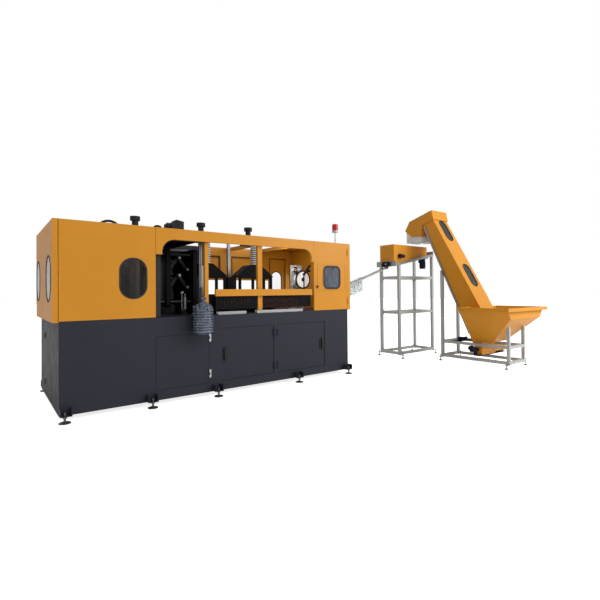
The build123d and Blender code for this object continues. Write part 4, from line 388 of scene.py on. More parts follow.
def make_finishes(colours):
    """Every finish of the line, by the name that the pieces use."""
    upright = (1.0, 1.0, 0.08)
    short = (1.0, 1.0, 0.1)
    finishes.update(
        orange=powder_coat("Orange powder coat", tuple(colours.orange), 0.40, 0.35, 0.22),
        slate=powder_coat("Slate powder coat", tuple(colours.slate), 0.46, 0.5, 0.16),
        stand=tube_paint("Silver grey lacquer", tuple(colours.stand_grey)),
        black=oven_enamel("Black oven enamel", tuple(colours.enamel_black)),
        motor=oven_enamel("Blue black motor enamel", tuple(colours.motor_blue)),
        rail=brushed_metal("Pale extruded rail", (0.36, 0.36, 0.36), (0.08, 1.0, 1.0), 0.38),
        steel=brushed_metal("Ground steel", (0.42, 0.42, 0.42), upright, 0.30),
        dark_steel=brushed_metal("Blackened steel", (0.026, 0.026, 0.028), upright, 0.34),
        foot=brushed_metal("Plated foot steel", (0.20, 0.19, 0.165), upright, 0.34),
        fitting=oven_enamel("Grey fan enamel", (0.022, 0.025, 0.031)),
        bright=brushed_metal("Polished steel", (0.62, 0.62, 0.63), (0.05, 1.0, 1.0), 0.14),
        mould=milled_block("Milled mould block", (0.11, 0.11, 0.12)),
        rubber=soft_rubber("Black window rubber", (0.012, 0.012, 0.013)),
        # Black of the sheets that paint the shade inside the guarding
        foam=soft_rubber("Black sheet of painted shade", (0.006, 0.006, 0.006)),
        plastic=moulded_plastic("Black handle plastic", (0.012, 0.012, 0.013), 0.38, 900.0),
        knob=moulded_plastic("Brown knob plastic", (0.16, 0.022, 0.008), 0.35, 700.0),
        hose=ribbed_duct("White duct plastic", (0.74, 0.74, 0.72)),
        belt=moulded_plastic("Cream belt plastic", (0.68, 0.66, 0.58), 0.5, 260.0),
        pane=window_film("Smoked window pane", (0.010, 0.010, 0.012), 0.20, 0.05),
        door_pane=window_film("Blue tinted pane", (0.050, 0.062, 0.085), 0.80, 0.80),
        screen=brushed_metal("Grey slot screen", (0.13, 0.13, 0.125), (0.1, 1.0, 1.0), 0.4),
        # Brown strips round the rear wall's openings: painted shadow along their frames
        gasket=soft_rubber("Brown panel gasket", (0.070, 0.026, 0.006)),
        # Dark copper strips on the oven skirt: painted glints
        ember=brushed_metal("Copper strip of painted glints", (0.075, 0.024, 0.011), short, 0.36),
        # The wheel's white face glows a little: painted light on a face that lies in shade
        white=moulded_plastic("White wheel plastic with painted glow", (0.82, 0.82, 0.80), 0.30, 300.0, 0.45),
        # Dark is painted shade in the bottle's grooves, light a painted highlight on its waves
        bottle=blown_bottle("Blue bottle plastic", (0.016, 0.021, 0.042), (0.15, 0.18, 0.24)),
        preform=clear_plastic("Clear preform plastic", (0.86, 0.89, 0.90), 0.06, 0.72, 1.30),
        curtain=clear_plastic("Milky curtain strip", (0.88, 0.90, 0.90), 0.20, 0.45, 1.2),
        lamp=clear_plastic("Red lamp lens", (0.62, 0.012, 0.010), 0.12, 0.25, 1.45),
        copper=brushed_metal("Copper toned spindles", (0.36, 0.13, 0.07), short, 0.34),
    )


node_finish = {
    "orange": ("end_covers", "front_panel_left", "header_fascia", "rear_wall", "roof_panels", "guard_beam",
               "guard_door", "unscrambler_hopper", "elevator_casing", "elevator_head", "hopper_tub"),
    "slate": ("base_frame", "machine_bed", "base_panels", "door_left", "door_middle", "door_right"),
    "stand": ("feeder_stands", "air_receiver", "infeed_frame", "signal_lamp_base"),
    "black": ("oven_modules", "exhaust_hoods", "clamp_plates", "moving_platen"),
    "motor": ("feeder_motors",),
    "rail": ("front_rails", "bottle_hanger", "chute_rails", "unscrambler_frame", "elevator_side_rails"),
    "steel": ("stretch_unit",),
    "foot": ("levelling_feet",),
    "fitting": ("exhaust_fans", "roof_fittings"),
    "dark_steel": ("tie_bars", "toggle_upper_outer", "toggle_upper_inner",
                   "toggle_lower_outer", "toggle_lower_inner"),
    "bright": ("stretch_rod", "roller_front", "roller_rear", "door_hinge_leaves"),
    "mould": ("mould_half_fixed", "mould_half_moving"),
    "rubber": ("window_seals", "kick_wheel"),
    "plastic": ("handle_middle", "handle_right"),
    "knob": ("guard_door_knob",),
    "hose": ("flex_ducts",),
    "belt": ("elevator_belt",),
    "pane": ("window_panes",),
    "door_pane": ("guard_door_pane",),
    "bottle": ("bottle",),
    "preform": ("preforms",),
    "curtain": ("head_curtain",),
    "lamp": ("signal_lamp_lens",),
    "copper": ("preform_chain",),
}


# Mesh helpers


def put(name, data):
    """Object of some data, linked to the scene."""
    thing = bpy.data.objects.new(name, data)
    bpy.context.collection.objects.link(thing)
    return thing


def aim(at, way):
    """Matrix that stands an upright shape at a point, with its top towards way."""
    return Matrix.Translation(at) @ way.to_track_quat("Z", "Y").to_matrix().to_4x4()


def as_mesh(name, shape):
    """Mesh of a shape, which is freed."""
    mesh = bpy.data.meshes.new(name)
    shape.to_mesh(mesh)
    shape.free()
    return mesh


def settle(name, mesh, body="line", smooth=False):
    """Puts a finished mesh in the scene, on its body."""
    piece = put(name, mesh)
    for face in mesh.polygons:
        face.use_smooth = smooth
    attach(piece, body)
    return piece


def keep(name, shape, finish, body="line", smooth=False):
    """Puts a shape in the scene, on its body and with its finish."""
    mesh = as_mesh(name, shape)
    mesh.materials.append(finishes[finish])
    return settle(name, mesh, body, smooth)


def add(whole, shape):
    """Adds one shape to another and frees it."""
    spare = as_mesh("spare", shape)
    whole.from_mesh(spare)
    bpy.data.meshes.remove(spare)


def face_out(shape):
    """Turns the faces of a closed shape outward."""
    bmesh.ops.recalc_face_normals(shape, faces=shape.faces)
    return shape


def bridge(shape, first, second):
    """Faces between two loops with as many corners."""
    for index in range(len(first)):
        after = (index + 1) % len(first)
        shape.faces.new((first[index], first[after], second[after], second[index]))


def lathe(profile, centre, segments):
    """Closed wall from an outline of radius and height, turned round an upright line."""
    shape = bmesh.new()
    rings = []
    for radius, height in profile:
        if radius < 1e-6:
            rings.append([shape.verts.new((centre.x, centre.y, centre.z + height))])
            continue
        ring = []
        for index in range(segments):
            angle = 2 * math.pi * index / segments
            ring.append(shape.verts.new((centre.x + radius * math.cos(angle),
                                         centre.y + radius * math.sin(angle), centre.z + height)))
        rings.append(ring)
    pairs = list(zip(rings, rings[1:]))
    if len(rings[0]) > 1 and len(rings[-1]) > 1:
        pairs.append((rings[-1], rings[0]))
    for lower, upper in pairs:
        for index in range(segments):
            following = (index + 1) % segments
            corners = [lower[index % len(lower)], lower[following % len(lower)],
                       upper[following % len(upper)], upper[index % len(upper)]]
            face = list(dict.fromkeys(corners))
            if len(face) > 2:
                shape.faces.new(face)
    return face_out(shape)


def slab(low, high, edge=0.0015):
    """Plate between two corners with its edges broken."""
    shape = bmesh.new()
    bmesh.ops.create_cube(shape, size=1.0)
    for vert in shape.verts:
        vert.co = Vector([low[i] + (vert.co[i] + 0.5) * (high[i] - low[i]) for i in range(3)])
    bmesh.ops.bevel(shape, geom=shape.edges[:], offset=edge, segments=1, affect="EDGES")
    return shape


def slabs(pairs, edge=0.0015):
    """Several plates in one mesh. pairs are low and high corners."""
    whole = bmesh.new()
    for low, high in pairs:
        add(whole, slab(low, high, edge))
    return whole


def rod(start, end, radius, segments=14):
    """Round bar with broken edges between two points."""
    length = (end - start).length
    edge = min(0.002, radius * 0.3)
    profile = [(0.0, 0.0), (radius - edge, 0.0), (radius, edge), (radius, length - edge),
               (radius - edge, length), (0.0, length)]
    shape = lathe(profile, ORIGIN, segments)
    shape.transform(aim(start, end - start))
    return shape


def plates(rows, edge):
    """Several plates in one mesh, each by the millimetres of its low and its high corner."""
    return slabs([(place(*row[:3]), place(*row[3:])) for row in rows], edge)


def rods(rows, segments=14):
    """Several bars in one mesh, each by the millimetres of both ends and its radius in metres."""
    whole = bmesh.new()
    for row in rows:
        add(whole, rod(place(*row[:3]), place(*row[3:6]), row[6], segments))
    return whole


def rounded(width, height, radius, steps):
    """Points round a rectangle with round corners, about the origin."""
    points = []
    for side, level, start in ((1, 1, 0), (-1, 1, 90), (-1, -1, 180), (1, -1, 270)):
        for step in range(steps + 1):
            angle = math.radians(start + 90 * step / steps)
            points.append((side * (width / 2 - radius) + radius * math.cos(angle),
                           level * (height / 2 - radius) + radius * math.sin(angle)))
    return points


def frame_band(centre, width, height, radius, band, depth, steps=8):
    """Round-cornered ring on a face that looks to the front. centre lies on the face."""
    shape = bmesh.new()
    outer = rounded(width, height, radius, steps)
    inner = rounded(width - 2 * band, height - 2 * band, max(radius - band, 0.001), steps)
    rows = []
    for loop, y in ((outer, 0.0), (outer, -depth), (inner, -depth), (inner, 0.0)):
        rows.append([shape.verts.new(centre + Vector((x, y, z))) for x, z in loop])
    for first, second in zip(rows, rows[1:] + rows[:1]):
        bridge(shape, first, second)
    return face_out(shape)


def rounded_plate(width, height, radius, depth, steps=8):
    """Round-cornered plate that looks to the front, with its back through the origin."""
    shape = bmesh.new()
    loop = rounded(width, height, radius, steps)
    back = [shape.verts.new((x, 0.0, z)) for x, z in loop]
    front = [shape.verts.new((x, -depth, z)) for x, z in loop]
    shape.faces.new(back)
    shape.faces.new(front)
    bridge(shape, back, front)
    return face_out(shape)


def ribbon(path, width, thickness):
    """Strip of sheet that follows a path of (point, inward normal), width along Y."""
    shape = bmesh.new()
    deep = Vector((0, width, 0))
    rows = []
    for point, inward in path:
        inner = point + inward * thickness
        rows.append([shape.verts.new(corner) for corner in (point, point + deep, inner + deep, inner)])
    for first, second in zip(rows, rows[1:]):
        bridge(shape, first, second)
    shape.faces.new(rows[0])
    shape.faces.new(rows[-1])
    return face_out(shape)


def evenly(start, end, count):
    """Evenly spaced points from start to end."""
    return [start.lerp(end, index / (count - 1)) for index in range(count)]


# Geometry Nodes trees for what repeats


def new_tree(name, inputs=()):
    """Node tree with a geometry, named number inputs and a finish. Gives the tree and its input node."""
    tree = bpy.data.node_groups.new(name, "GeometryNodeTree")
    tree.interface.new_socket("Geometry", in_out="INPUT", socket_type="NodeSocketGeometry")
    for label, value in inputs:
        socket = tree.interface.new_socket(label, in_out="INPUT", socket_type="NodeSocketFloat")
        socket.default_value = value
    tree.interface.new_socket("Finish", in_out="INPUT", socket_type="NodeSocketMaterial")
    tree.interface.new_socket("Geometry", in_out="OUTPUT", socket_type="NodeSocketGeometry")
    return tree, tree.nodes.new("NodeGroupInput")


def spread(tree, entry, instance, axis="Z", pivot="AUTO"):
    """Ends a tree: the instance on each point, turned to its facing, realized and with the finish."""
    link = tree.links.new
    facing = tree.nodes.new("GeometryNodeInputNamedAttribute")
    facing.data_type = "FLOAT_VECTOR"
    fill(facing, Name="facing")
    turn = tree.nodes.new("FunctionNodeAlignRotationToVector")
    turn.axis = axis
    turn.pivot_axis = pivot
    link(facing.outputs["Attribute"], turn.inputs["Vector"])
    copies = tree.nodes.new("GeometryNodeInstanceOnPoints")
    link(entry.outputs["Geometry"], copies.inputs["Points"])
    link(instance, copies.inputs["Instance"])
    link(turn.outputs["Rotation"], copies.inputs["Rotation"])
    real = tree.nodes.new("GeometryNodeRealizeInstances")
    link(copies.outputs["Instances"], real.inputs["Geometry"])
    paint = tree.nodes.new("GeometryNodeSetMaterial")
    link(real.outputs["Geometry"], paint.inputs["Geometry"])
    link(entry.outputs["Finish"], paint.inputs["Material"])
    leave = tree.nodes.new("NodeGroupOutput")
    link(paint.outputs["Geometry"], leave.inputs["Geometry"])
    return tree


def screw_tree():
    """Low round screw head with a bevelled top and a socket, on each point, along its facing."""
    tree, entry = new_tree("Screw heads", (("Head radius", 0.007), ("Head height", 0.004)))
    link = tree.links.new
    radius, height = entry.outputs["Head radius"], entry.outputs["Head height"]
    head = fill(tree.nodes.new("GeometryNodeMeshCone"), Vertices=14)
    link(radius, head.inputs["Radius Bottom"])
    link(calc(tree, "MULTIPLY", radius, 0.72), head.inputs["Radius Top"])
    link(height, head.inputs["Depth"])
    recess = fill(tree.nodes.new("GeometryNodeMeshCylinder"), Vertices=6)
    link(calc(tree, "MULTIPLY", radius, 0.42), recess.inputs["Radius"])
    link(calc(tree, "MULTIPLY", height, 2.3), recess.inputs["Depth"])
    both = tree.nodes.new("GeometryNodeJoinGeometry")
    link(head.outputs["Mesh"], both.inputs["Geometry"])
    link(recess.outputs["Mesh"], both.inputs["Geometry"])
    return spread(tree, entry, both.outputs["Geometry"])


def scatter_tree(name, upright):
    """Copy of one part on each point. It faces along the point's way, or stands upright and turns to it."""
    tree, entry = new_tree(name)
    tree.interface.new_socket("Part", in_out="INPUT", socket_type="NodeSocketObject")
    part = tree.nodes.new("GeometryNodeObjectInfo")
    tree.links.new(entry.outputs["Part"], part.inputs["Object"])
    if upright:
        return spread(tree, entry, part.outputs["Geometry"], "X", "Z")
    return spread(tree, entry, part.outputs["Geometry"])


def grow(name, spots, tree, values, finish):
    """Runs a tree on points, each with the way it faces, and keeps the result as a plain piece."""
    mesh = bpy.data.meshes.new(name)
    mesh.from_pydata([spot for spot, _ in spots], [], [])
    facing = mesh.attributes.new("facing", "FLOAT_VECTOR", "POINT")
    for index, (_, way) in enumerate(spots):
        facing.data[index].vector = way
    seed = put(name + "_seed", mesh)
    modifier = seed.modifiers.new("Grow", "NODES")
    modifier.node_group = tree
    sockets = {item.name: item.identifier for item in tree.interface.items_tree
               if item.item_type == "SOCKET" and item.in_out == "INPUT"}
    for label, value in {**values, "Finish": finishes[finish]}.items():
        modifier[sockets[label]] = value
    graph = bpy.context.evaluated_depsgraph_get()
    result = bpy.data.meshes.new_from_object(seed.evaluated_get(graph))
    seed.modifiers.clear()
    bpy.data.objects.remove(seed)
    return settle(name, result)


def scatter(name, shape, spots, finish, upright=False):
    """Sets a copy of a shape, made at the origin, on each spot of a point and a direction."""
    key = "Upright parts" if upright else "Facing parts"
    tree = bpy.data.node_groups.get(key) or scatter_tree(key, upright)
    part = put(name + "_part", as_mesh(name + "_part", shape))
    grow(name, spots, tree, {"Part": part}, finish)
    bpy.data.objects.remove(part)


# Operators: one for each group of pieces


class LINE_OT_studio(bpy.types.Operator):
    """Sets up the camera, the lamps, the room light and the floor"""

    bl_idname = "line.studio"
    bl_label = "Set up the studio"

    def execute(self, context):
        settings = context.scene.line_studio
        self.aim_camera(context.scene, settings)
        self.light_room(context.scene, settings)
        self.place_lamps(settings)
        self.lay_floor()
        return {"FINISHED"}

    def aim_camera(self, scene, settings):
        data = bpy.data.cameras.new("Camera")
        data.sensor_width = 36.0
        data.lens = settings.lens
        data.shift_y = CAMERA_SHIFT
        data.clip_end = 200.0
        camera = put("Camera", data)
        yaw, pitch, roll = settings.yaw, settings.pitch, settings.roll
        ahead = Vector((math.sin(yaw) * math.cos(pitch), math.cos(yaw) * math.cos(pitch), math.sin(pitch)))
        level = Vector((math.cos(yaw), -math.sin(yaw), 0))
        right = math.cos(roll) * level - math.sin(roll) * level.cross(ahead)
        turn = Matrix((right, right.cross(ahead), -ahead)).transposed().to_4x4()
        camera.matrix_world = Matrix.Translation(place(*CAMERA_AT)) @ turn
        scene.camera = camera

    def light_room(self, scene, settings):
        """Even light, which the camera and clear pieces see as plain white."""
        world = bpy.data.worlds.new("Studio")
        world.use_nodes = True
        scene.world = world
        tree = world.node_tree
        mix = tree.nodes.new("ShaderNodeMixShader")
        tree.links.new(direct_rays(tree), mix.inputs["Fac"])
        room = tree.nodes["Background"]
        white = tree.nodes.new("ShaderNodeBackground")
        for index, node, strength in ((1, room, settings.ambient), (2, white, 1.0)):
            fill(node, Color=(1, 1, 1, 1), Strength=strength)
            tree.links.new(node.outputs["Background"], mix.inputs[index])
        tree.links.new(mix.outputs["Shader"], tree.nodes["World Output"].inputs["Surface"])

    def place_lamps(self, settings):
        sun = bpy.data.lights.new("Key", "SUN")
        sun.energy = settings.key
        sun.angle = KEY_SPREAD
        put("Key", sun).matrix_world = aim(ORIGIN, Vector((0.25, -0.72, 0.62)))
        mould_power = MOULD_LAMP_SHARE * settings.inside
        # Name, power, side of the panel, where it hangs and what it looks at
        lamps = (("Panel", settings.panel, 4.0, Vector((5.2, -6.0, 4.4)), Vector((2.0, 0.0, 1.4))),
                 ("Bay lamp", settings.inside, 0.25, place(3420, 520, 2150), place(3900, 700, 1600)),
                 ("Mould lamp", mould_power, 0.25, place(560, 180, 2140), place(900, 620, 1600)))
        for name, power, size, at, toward in lamps:
            light = bpy.data.lights.new(name, "AREA")
            light.energy = power
            light.size = size
            put(name, light).matrix_world = aim(at, at - toward)

    def lay_floor(self):
        shape = bmesh.new()
        corners = ((-FLOOR_HALF, -FLOOR_HALF), (FLOOR_HALF, -FLOOR_HALF),
                   (FLOOR_HALF, FLOOR_HALF), (-FLOOR_HALF, FLOOR_HALF))
        shape.faces.new([shape.verts.new((x, y, 0)) for x, y in corners])
        mesh = as_mesh("Floor", shape)
        mesh.materials.append(shop_floor("Pale floor"))
        floor = put("Floor", mesh)


class LINE_OT_coat_nodes(bpy.types.Operator):
    """Gives every CAD node its finish"""

    bl_idname = "line.coat_nodes"
    bl_label = "Coat the solid parts"

    def execute(self, context):
        make_finishes(context.scene.line_paint)
        left = set(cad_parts)
        for finish, names in node_finish.items():
            for name in names:
                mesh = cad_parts[name].data
                mesh.materials.clear()
                mesh.materials.append(finishes[finish])
                left.discard(name)
        if left:
            raise RuntimeError(f"no finish for {sorted(left)}")
        return {"FINISHED"}


class LINE_OT_bottle(bpy.types.Operator):
    """Makes the blown bottle on the hanger, with waves round its body"""

    bl_idname = "line.bottle"
    bl_label = "Hang the bottle"

    def execute(self, context):
        wall, neck, widest, groove, low = 0.0025, 0.0275, 0.1345, 0.0085, 0.035
        body = [(0.0, 0.020), (0.050, 0.016), (0.080, 0.006), (0.102, 0.000), (0.122, 0.004), (0.132, 0.018)]
        for step in range(61):
            rise = step * 0.0046
            wave = 0.5 - 0.5 * math.cos(2 * math.pi * rise / BOTTLE_WAVE)
            body.append((widest - groove * wave, low + rise))
        body += [(0.133, 0.328), (0.126, 0.352), (0.111, 0.374), (0.088, 0.393), (0.062, 0.407),
                 (0.042, 0.417), (0.031, 0.428)]
        inside = []
        for radius, height in reversed(body):
            inside.append((max(radius - wall, 0.0), height + (wall if height < 0.03 else 0.0)))
        rim = [(neck, 0.440), (neck, 0.470), (0.0365, 0.4702), (0.0365, 0.478), (neck, 0.4784), (neck, 0.490),
               (neck - wall, 0.490), (neck - wall, 0.470)]
        piece = keep("blown_bottle", lathe(body + rim + inside, place(1645, -152, 885), 56), "bottle", smooth=True)
        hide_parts("bottle")
        return {"FINISHED"}


class LINE_OT_preforms(bpy.types.Operator):
    """Makes the row of preforms with their threads and neck rings"""

    bl_idname = "line.preforms"
    bl_label = "Hang the preforms"

    def execute(self, context):
        profile = [(0.0, -0.262), (0.009, -0.2605), (0.017, -0.254), (0.0215, -0.240), (0.0220, -0.225),
                   (0.0220, -0.030), (0.0200, -0.014), (0.0150, -0.0005), (0.0290, 0.0), (0.0290, 0.0035),
                   (0.0152, 0.004), (0.0152, 0.008), (0.0168, 0.0095), (0.0152, 0.011), (0.0168, 0.0145),
                   (0.0152, 0.016), (0.0168, 0.0195), (0.0152, 0.021), (0.0152, 0.026), (0.0112, 0.026),
                   (0.0112, -0.020), (0.0170, -0.034), (0.0175, -0.235), (0.011, -0.252), (0.0, -0.256)]
        depth, rise, reach = 0.262, 0.026, 0.029
        low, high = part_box("preforms")
        y = (low[1] + high[1]) / 2
        first = Vector((low[0] + reach, y, low[2] + depth))
        last = Vector((high[0] - reach, y, high[2] - rise))
        whole = bmesh.new()
        for spot in evenly(first, last, 16):
            add(whole, lathe(profile, spot, 18))
        piece = keep("clear_preforms", whole, "preform", smooth=True)
        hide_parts("preforms")
        return {"FINISHED"}


class LINE_OT_fasteners(bpy.types.Operator):
    """Sets the screws of the covers and of the left door's hinges"""

    bl_idname = "line.fasteners"
    bl_label = "Set the screws"

    def execute(self, context):
        tree = screw_tree()
        painted = [(place(4498, y, z), RIGHT) for y in (30, 470, 900, 1330, 1750) for z in (1130, 2245)]
        for spot in evenly(place(40, 1780, 0), place(4390, 1780, 0), 11):
            painted += [(Vector((spot.x, spot.y, z)), BACK) for z in (2.25, 1.14)]
        grow("panel_screws", painted, tree, {"Head radius": 0.0075, "Head height": 0.004}, "orange")
        steel = [(place(1813, -3, z + shift), FRONT) for z in (318, 813) for shift in (-38, 0, 38)]
        grow("hinge_screws", steel, tree, {"Head radius": 0.005, "Head height": 0.003}, "steel")
        return {"FINISHED"}


class LINE_OT_shade_sheets(bpy.types.Operator):
    """Hangs black sheets inside the guarding as painted shade, and lays a black band along the arch of the front
    """

    bl_idname = "line.liners"
    bl_label = "Hang the shade sheets"

    def execute(self, context):
        # The arch of the front, in millimetres: its sides, its foot, its crown and its corner
        left, right, low, high, radius = 1158.0, 1770.0, 1925.0, 2123.0, 163.0
        path = [(place(left, 4, low), RIGHT)]
        for step in range(13):
            angle = math.radians(180 - step * 7.5)
            out = Vector((math.cos(angle), 0, math.sin(angle)))
            path.append((place(left + radius, 4, high - radius) + out * radius / 1000, -out))
        path.append((place(right, 4, high), DOWN))
        # A black band along the inside of the arch
        keep("arch_trim", ribbon(path, 0.052, 0.006), "rubber")
        # Black sheets that paint the shade inside the guarding
        sheets = ((1080, 60, 1125, 1086, 405, 2240),
                  (1080, 1205, 1125, 1086, 1700, 2240),
                  (1080, 405, 2060, 1086, 1205, 2240),
                  (1086, 1694, 1116, 2440, 1700, 2262),
                  (1086, 60, 2246, 1892, 1694, 2252),
                  (1886, 60, 2186, 1892, 1694, 2246),
                  (1078, 48, 1125, 1150, 54, 1960))
        keep("sound_lining", plates(sheets, 0.001), "foam")
        return {"FINISHED"}


class LINE_OT_chain(bpy.types.Operator):
    """Makes the spindle chain: links, sprockets with teeth, and spindles with their chucks"""

    bl_idname = "line.chain"
    bl_label = "Lay the chain"

    def execute(self, context):
        # Middle line, sprocket radius, both sprocket centres and height, in millimetres, and the links
        y, radius, first, last, top, count = 820.0, 230.0, 2190.0, 3430.0, 1245.0, 84
        straight = last - first
        half = straight + math.pi * radius
        spots = []
        for index in range(count):
            side, along = divmod(2 * half * index / count, half)
            angle = max(along - straight, 0.0) / radius - math.pi / 2
            way = Vector((-math.sin(angle), math.cos(angle), 0))
            across = min(along, straight) - straight / 2 + radius * math.cos(angle)
            flip = 1 - 2 * side
            point = place((first + last) / 2 + flip * across, y + flip * radius * math.sin(angle), top)
            spots.append((point, flip * way))
        link = slabs([((-0.026, -0.013, 0.001), (0.026, 0.013, 0.006)),
                      ((-0.026, -0.013, 0.018), (0.026, 0.013, 0.023))], 0.002)
        roller = [(0.0, -0.002), (0.009, -0.002), (0.009, 0.027), (0.0, 0.027)]
        add(link, lathe(roller, Vector((0.020, 0, 0)), 10))
        scatter("chain_links", link, spots, "steel", upright=True)
        spindle = lathe([(0.0, -0.020), (0.012, -0.020), (0.015, -0.016), (0.015, -0.004), (0.010, -0.001),
                         (0.010, 0.026), (0.0165, 0.028), (0.0165, 0.038), (0.013, 0.041), (0.013, 0.058),
                         (0.0105, 0.062), (0.0105, 0.071), (0.008, 0.074), (0.0, 0.074)], ORIGIN, 16)
        scatter("chain_spindles", spindle, spots[::2], "copper", upright=True)
        hub = [(0.0, -0.134), (0.052, -0.134), (0.052, 0.040), (0.046, 0.048), (0.046, 0.056), (0.0, 0.056)]
        gears = bmesh.new()
        for x in (first, last):
            centre = place(x, y, top + 4)
            add(gears, self.sprocket(centre))
            add(gears, lathe(hub, centre, 28))
        piece = keep("chain_sprockets", gears, "steel")
        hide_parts("preform_chain")
        return {"FINISHED"}

    def sprocket(self, centre):
        """Toothed disc, with four corners to each of its 44 teeth."""
        shape = bmesh.new()
        corners = 44 * 4
        rim = []
        for index in range(corners):
            angle = 2 * math.pi * index / corners
            reach = 0.216 if index % 4 in (1, 2) else 0.206
            rim.append(centre + Vector((reach * math.cos(angle), reach * math.sin(angle), 0)))
        low = [shape.verts.new(point) for point in rim]
        high = [shape.verts.new(point + Vector((0, 0, 0.018))) for point in rim]
        shape.faces.new(low[::-1])
        shape.faces.new(high)
        bridge(shape, low, high)
        return shape


class LINE_OT_trim(bpy.types.Operator):
    """Adds the window seals, handle bezels, painted shadow lines round the rear wall's openings and the pressed
    frame of the guard door
    """

    bl_idname = "line.trim"
    bl_label = "Add the trim"

    def execute(self, context):
        window = place(4065, -0.5, 1671)
        keep("guard_window_seal", frame_band(window, 0.388, 0.400, 0.098, 0.030, 0.010), "rubber", "infeed_door")
        keep("guard_door_press", frame_band(window, 0.640, 0.445, 0.030, 0.007, 0.0035), "orange", "infeed_door")
        for door, x in (("middle", 2028), ("right", 3829)):
            bezel = frame_band(place(x, 8, 560), 0.082, 0.196, 0.038, 0.013, 0.012)
            keep(door + "_handle_bezel", bezel, "plastic", door + "_door")
        # Left, right and lower edge of each opening. All end at the same height
        # Brown strips round each opening: painted shadow along its frame
        gaskets = bmesh.new()
        high = 2110
        for left, right, low in ((60, 700, 1205), (780, 1500, 1205), (1580, 2240, 1205), (2320, 2840, 1715),
                                 (3082, 3700, 1715), (3935, 4330, 1205)):
            centre = place((left + right) / 2, 1751, (low + high) / 2)
            size = ((right - left) / 1000 + 0.010, (high - low) / 1000 + 0.010)
            add(gaskets, frame_band(centre, *size, 0.008, 0.017, 0.004, 2))
        keep("panel_gaskets", gaskets, "gasket")
        self.slot_trim()
        return {"FINISHED"}

    def slot_trim(self):
        """Seals round the two slots of the elevator casing and the screens behind them."""
        lean = Matrix.Rotation(-math.radians(29.1), 4, "X")
        seals, screens = bmesh.new(), bmesh.new()
        for y, z in ((-184.0, 2711.3), (-722.4, 1744.1)):
            seat = Matrix.Translation(place(7193, y, z)) @ lean
            seal = frame_band(Vector((0, 0.0005, 0)), 0.238, 0.536, 0.118, 0.017, 0.006)
            seal.transform(seat)
            add(seals, seal)
            screen = rounded_plate(0.206, 0.504, 0.102, 0.002)
            screen.transform(seat @ Matrix.Translation((0, 0.010, 0)))
            add(screens, screen)
            for step in range(-5, 6):
                bar = slab((-0.088, -0.003, -0.003), (0.088, 0.003, 0.003), 0.001)
                bar.transform(seat @ Matrix.Translation((0, 0.006, step * 0.036)))
                add(screens, bar)
        keep("slot_seals", seals, "rubber")
        keep("slot_screens", screens, "screen")


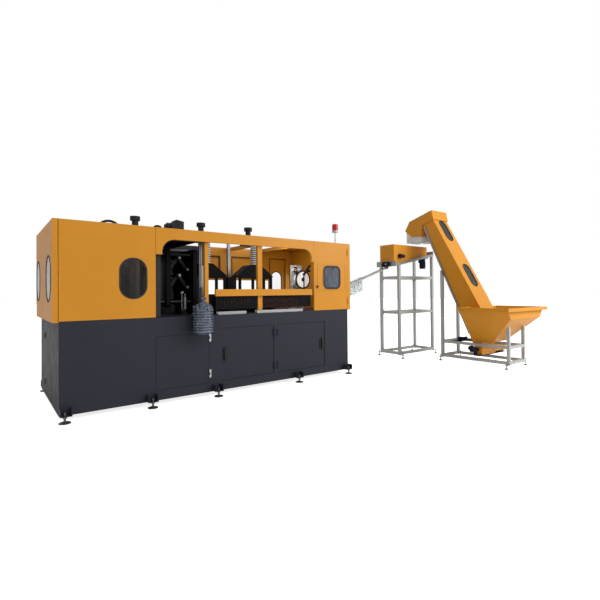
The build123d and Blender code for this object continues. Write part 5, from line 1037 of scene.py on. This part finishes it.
class LINE_OT_fittings(bpy.types.Operator):
    """Adds the bearings, the infeed wheel with its glowing face, the air fittings, the copper strips that paint
    glints on the skirt and the small brackets
    """

    bl_idname = "line.fittings"
    bl_label = "Add the fittings"

    def execute(self, context):
        self.infeed_wheel()
        self.air_fittings()
        self.glint_strips()
        self.bearings()
        locks = ((-9, 1296, 832, 0, 1344, 904), (-9, 1296, 204, 0, 1344, 276), (-4, 1180, 1048, 0, 1640, 1062))
        keep("end_panel_locks", plates(locks, 0.003), "plastic")
        keep("rail_end_bracket", plates([(1574, 3, 1126, 1634, 26, 1250)], 0.004), "rail")
        return {"FINISHED"}

    def infeed_wheel(self):
        """Wheel that stands across the infeed, with its white face, its arms and two sensors. The face glows a
        little as painted light.
        """
        centre = place(3925, 628, 1650)
        upright = aim(centre, FRONT)
        rim = lathe([(0.142, -0.009), (0.168, -0.009), (0.168, 0.009), (0.142, 0.009)], ORIGIN, 56)
        hub = [(0.0, -0.030), (0.030, -0.030), (0.034, -0.026), (0.034, 0.012), (0.0, 0.012)]
        add(rim, lathe(hub, ORIGIN, 24))
        rim.transform(upright)
        for start, end, radius in (((0.010, -0.018, -0.150), (0.010, -0.018, 0.080), 0.012),
                                   ((0.0, -0.018, 0.080), (0.155, -0.018, 0.262), 0.024),
                                   ((0.060, -0.030, 0.150), (0.150, -0.030, 0.165), 0.020)):
            add(rim, rod(centre + Vector(start), centre + Vector(end), radius))
        keep("infeed_wheel_rim", rim, "plastic")
        disc = lathe([(0.0, -0.003), (0.141, -0.003), (0.141, 0.003), (0.0, 0.003)], ORIGIN, 56)
        disc.transform(upright)
        # Its face glows a little: painted light
        keep("infeed_wheel_face", disc, "white")
        sensors = ((3775, 630, 1740, 3815, 658, 1800), (3740, 636, 1856, 3800, 658, 1876))
        keep("infeed_sensors", plates(sensors, 0.003), "plastic")

    def air_fittings(self):
        """Small cylinder beside the clamp, and the pin heads of the toggles."""
        cylinder = ((1636, 452, 1190, 1636, 452, 1372, 0.019),
                    (1636, 452, 1372, 1636, 452, 1420, 0.007),
                    (1572, 452, 1420, 1608, 452, 1440, 0.020),
                    (1590, 452, 1180, 1590, 452, 1425, 0.008))
        keep("air_cylinder", rods(cylinder, 18), "rail")
        for level, knee, pivot in (("upper", 1941, 1769), ("lower", 1683, 1511)):
            pin = rods([(1583.5, 508, knee, 1583.5, 528, knee, 0.021)], 18)
            keep(level + "_knee_pin", pin, "rail", level + "_outer_links")
            pin = rods([(1703.9, 508, pivot, 1703.9, 528, pivot, 0.021)], 18)
            keep(level + "_pivot_pin", pin, "rail")

    def glint_strips(self):
        """Copper strips at the slots of the skirt that paint its glints, each hung a little lower or higher."""
        strip = slab((-0.0035, -0.026, 0.0), (0.0035, 0.026, 0.003), 0.001)
        spots = []
        for index, spot in enumerate(evenly(place(2700, 45.8, 0), place(3360, 45.8, 0), 27)):
            drop = 0.034 * ((index * 37 + 5 * index * index) % 11) / 10
            spots += [(Vector((spot.x + shift, spot.y, level - drop)), FRONT)
                      for level, shift in ((1.315, 0.0), (1.235, 0.009))]
        for index, spot in enumerate(evenly(place(2000, 45.8, 0), place(2440, 45.8, 0), 9)):
            drop = 0.040 * ((index * 3) % 4) / 3
            spots.append((Vector((spot.x, spot.y, 1.310 - drop)), FRONT))
        scatter("oven_reflectors", strip, spots, "ember")

    def bearings(self):
        """Flange bearings at the low end of the unscrambler, and the motor at the tail of the elevator."""
        shape = bmesh.new()
        for y in (589, 711):
            add(shape, plates([(6196, y - 46, 1948, 6208, y + 46, 2062)], 0.004))
            add(shape, rods([(6170, y, 2005, 6197, y, 2005, 0.034)], 20))
            add(shape, rods([(6158, y, 2005, 6171, y, 2005, 0.014)], 12))
        add(shape, plates([(6208, 540, 1968, 6214, 760, 2050)], 0.002))
        keep("unscrambler_bearings", shape, "plastic")
        tail = rods([(6590, -1050, 343, 6668, -1050, 343, 0.046),
                     (6668, -1050, 343, 6720, -1050, 343, 0.030),
                     (6720, -1050, 330, 6912, -1050, 300, 0.018)], 20)
        add(tail, plates([(6660, -1100, 262, 6700, -1000, 352)], 0.004))
        add(tail, rods([(6700, -1050, 280, 6912, -1050, 280, 0.014)]))
        keep("tail_motor", tail, "motor")


class LINE_PT_tools(bpy.types.Panel):
    """Lists the steps that dress the line"""

    bl_label = "Moulding Line"
    bl_space_type = "VIEW_3D"
    bl_region_type = "UI"
    bl_category = "Moulding Line"

    def draw(self, context):
        column = self.layout.column(align=True)
        for operator in operators:
            column.operator(operator.bl_idname)
        for group in (context.scene.line_paint, context.scene.line_studio):
            for name in group.__annotations__:
                self.layout.prop(group, name)


operators = (
    LINE_OT_studio,
    LINE_OT_coat_nodes,
    LINE_OT_bottle,
    LINE_OT_preforms,
    LINE_OT_fasteners,
    LINE_OT_shade_sheets,
    LINE_OT_chain,
    LINE_OT_trim,
    LINE_OT_fittings,
)
classes = (PaintColours, StudioSettings, *operators, LINE_PT_tools)


def register():
    for entry in classes:
        bpy.utils.register_class(entry)
    bpy.types.Scene.line_paint = bpy.props.PointerProperty(type=PaintColours)
    bpy.types.Scene.line_studio = bpy.props.PointerProperty(type=StudioSettings)


def unregister():
    del bpy.types.Scene.line_studio
    del bpy.types.Scene.line_paint
    for entry in reversed(classes):
        bpy.utils.unregister_class(entry)


def main():
    """Builds the studio and every piece."""
    bpy.context.scene.view_settings.view_transform = "Standard"
    register()
    for operator in operators:
        family, name = operator.bl_idname.split(".")
        getattr(getattr(bpy.ops, family), name)()


if __name__ == "__main__":
    main()
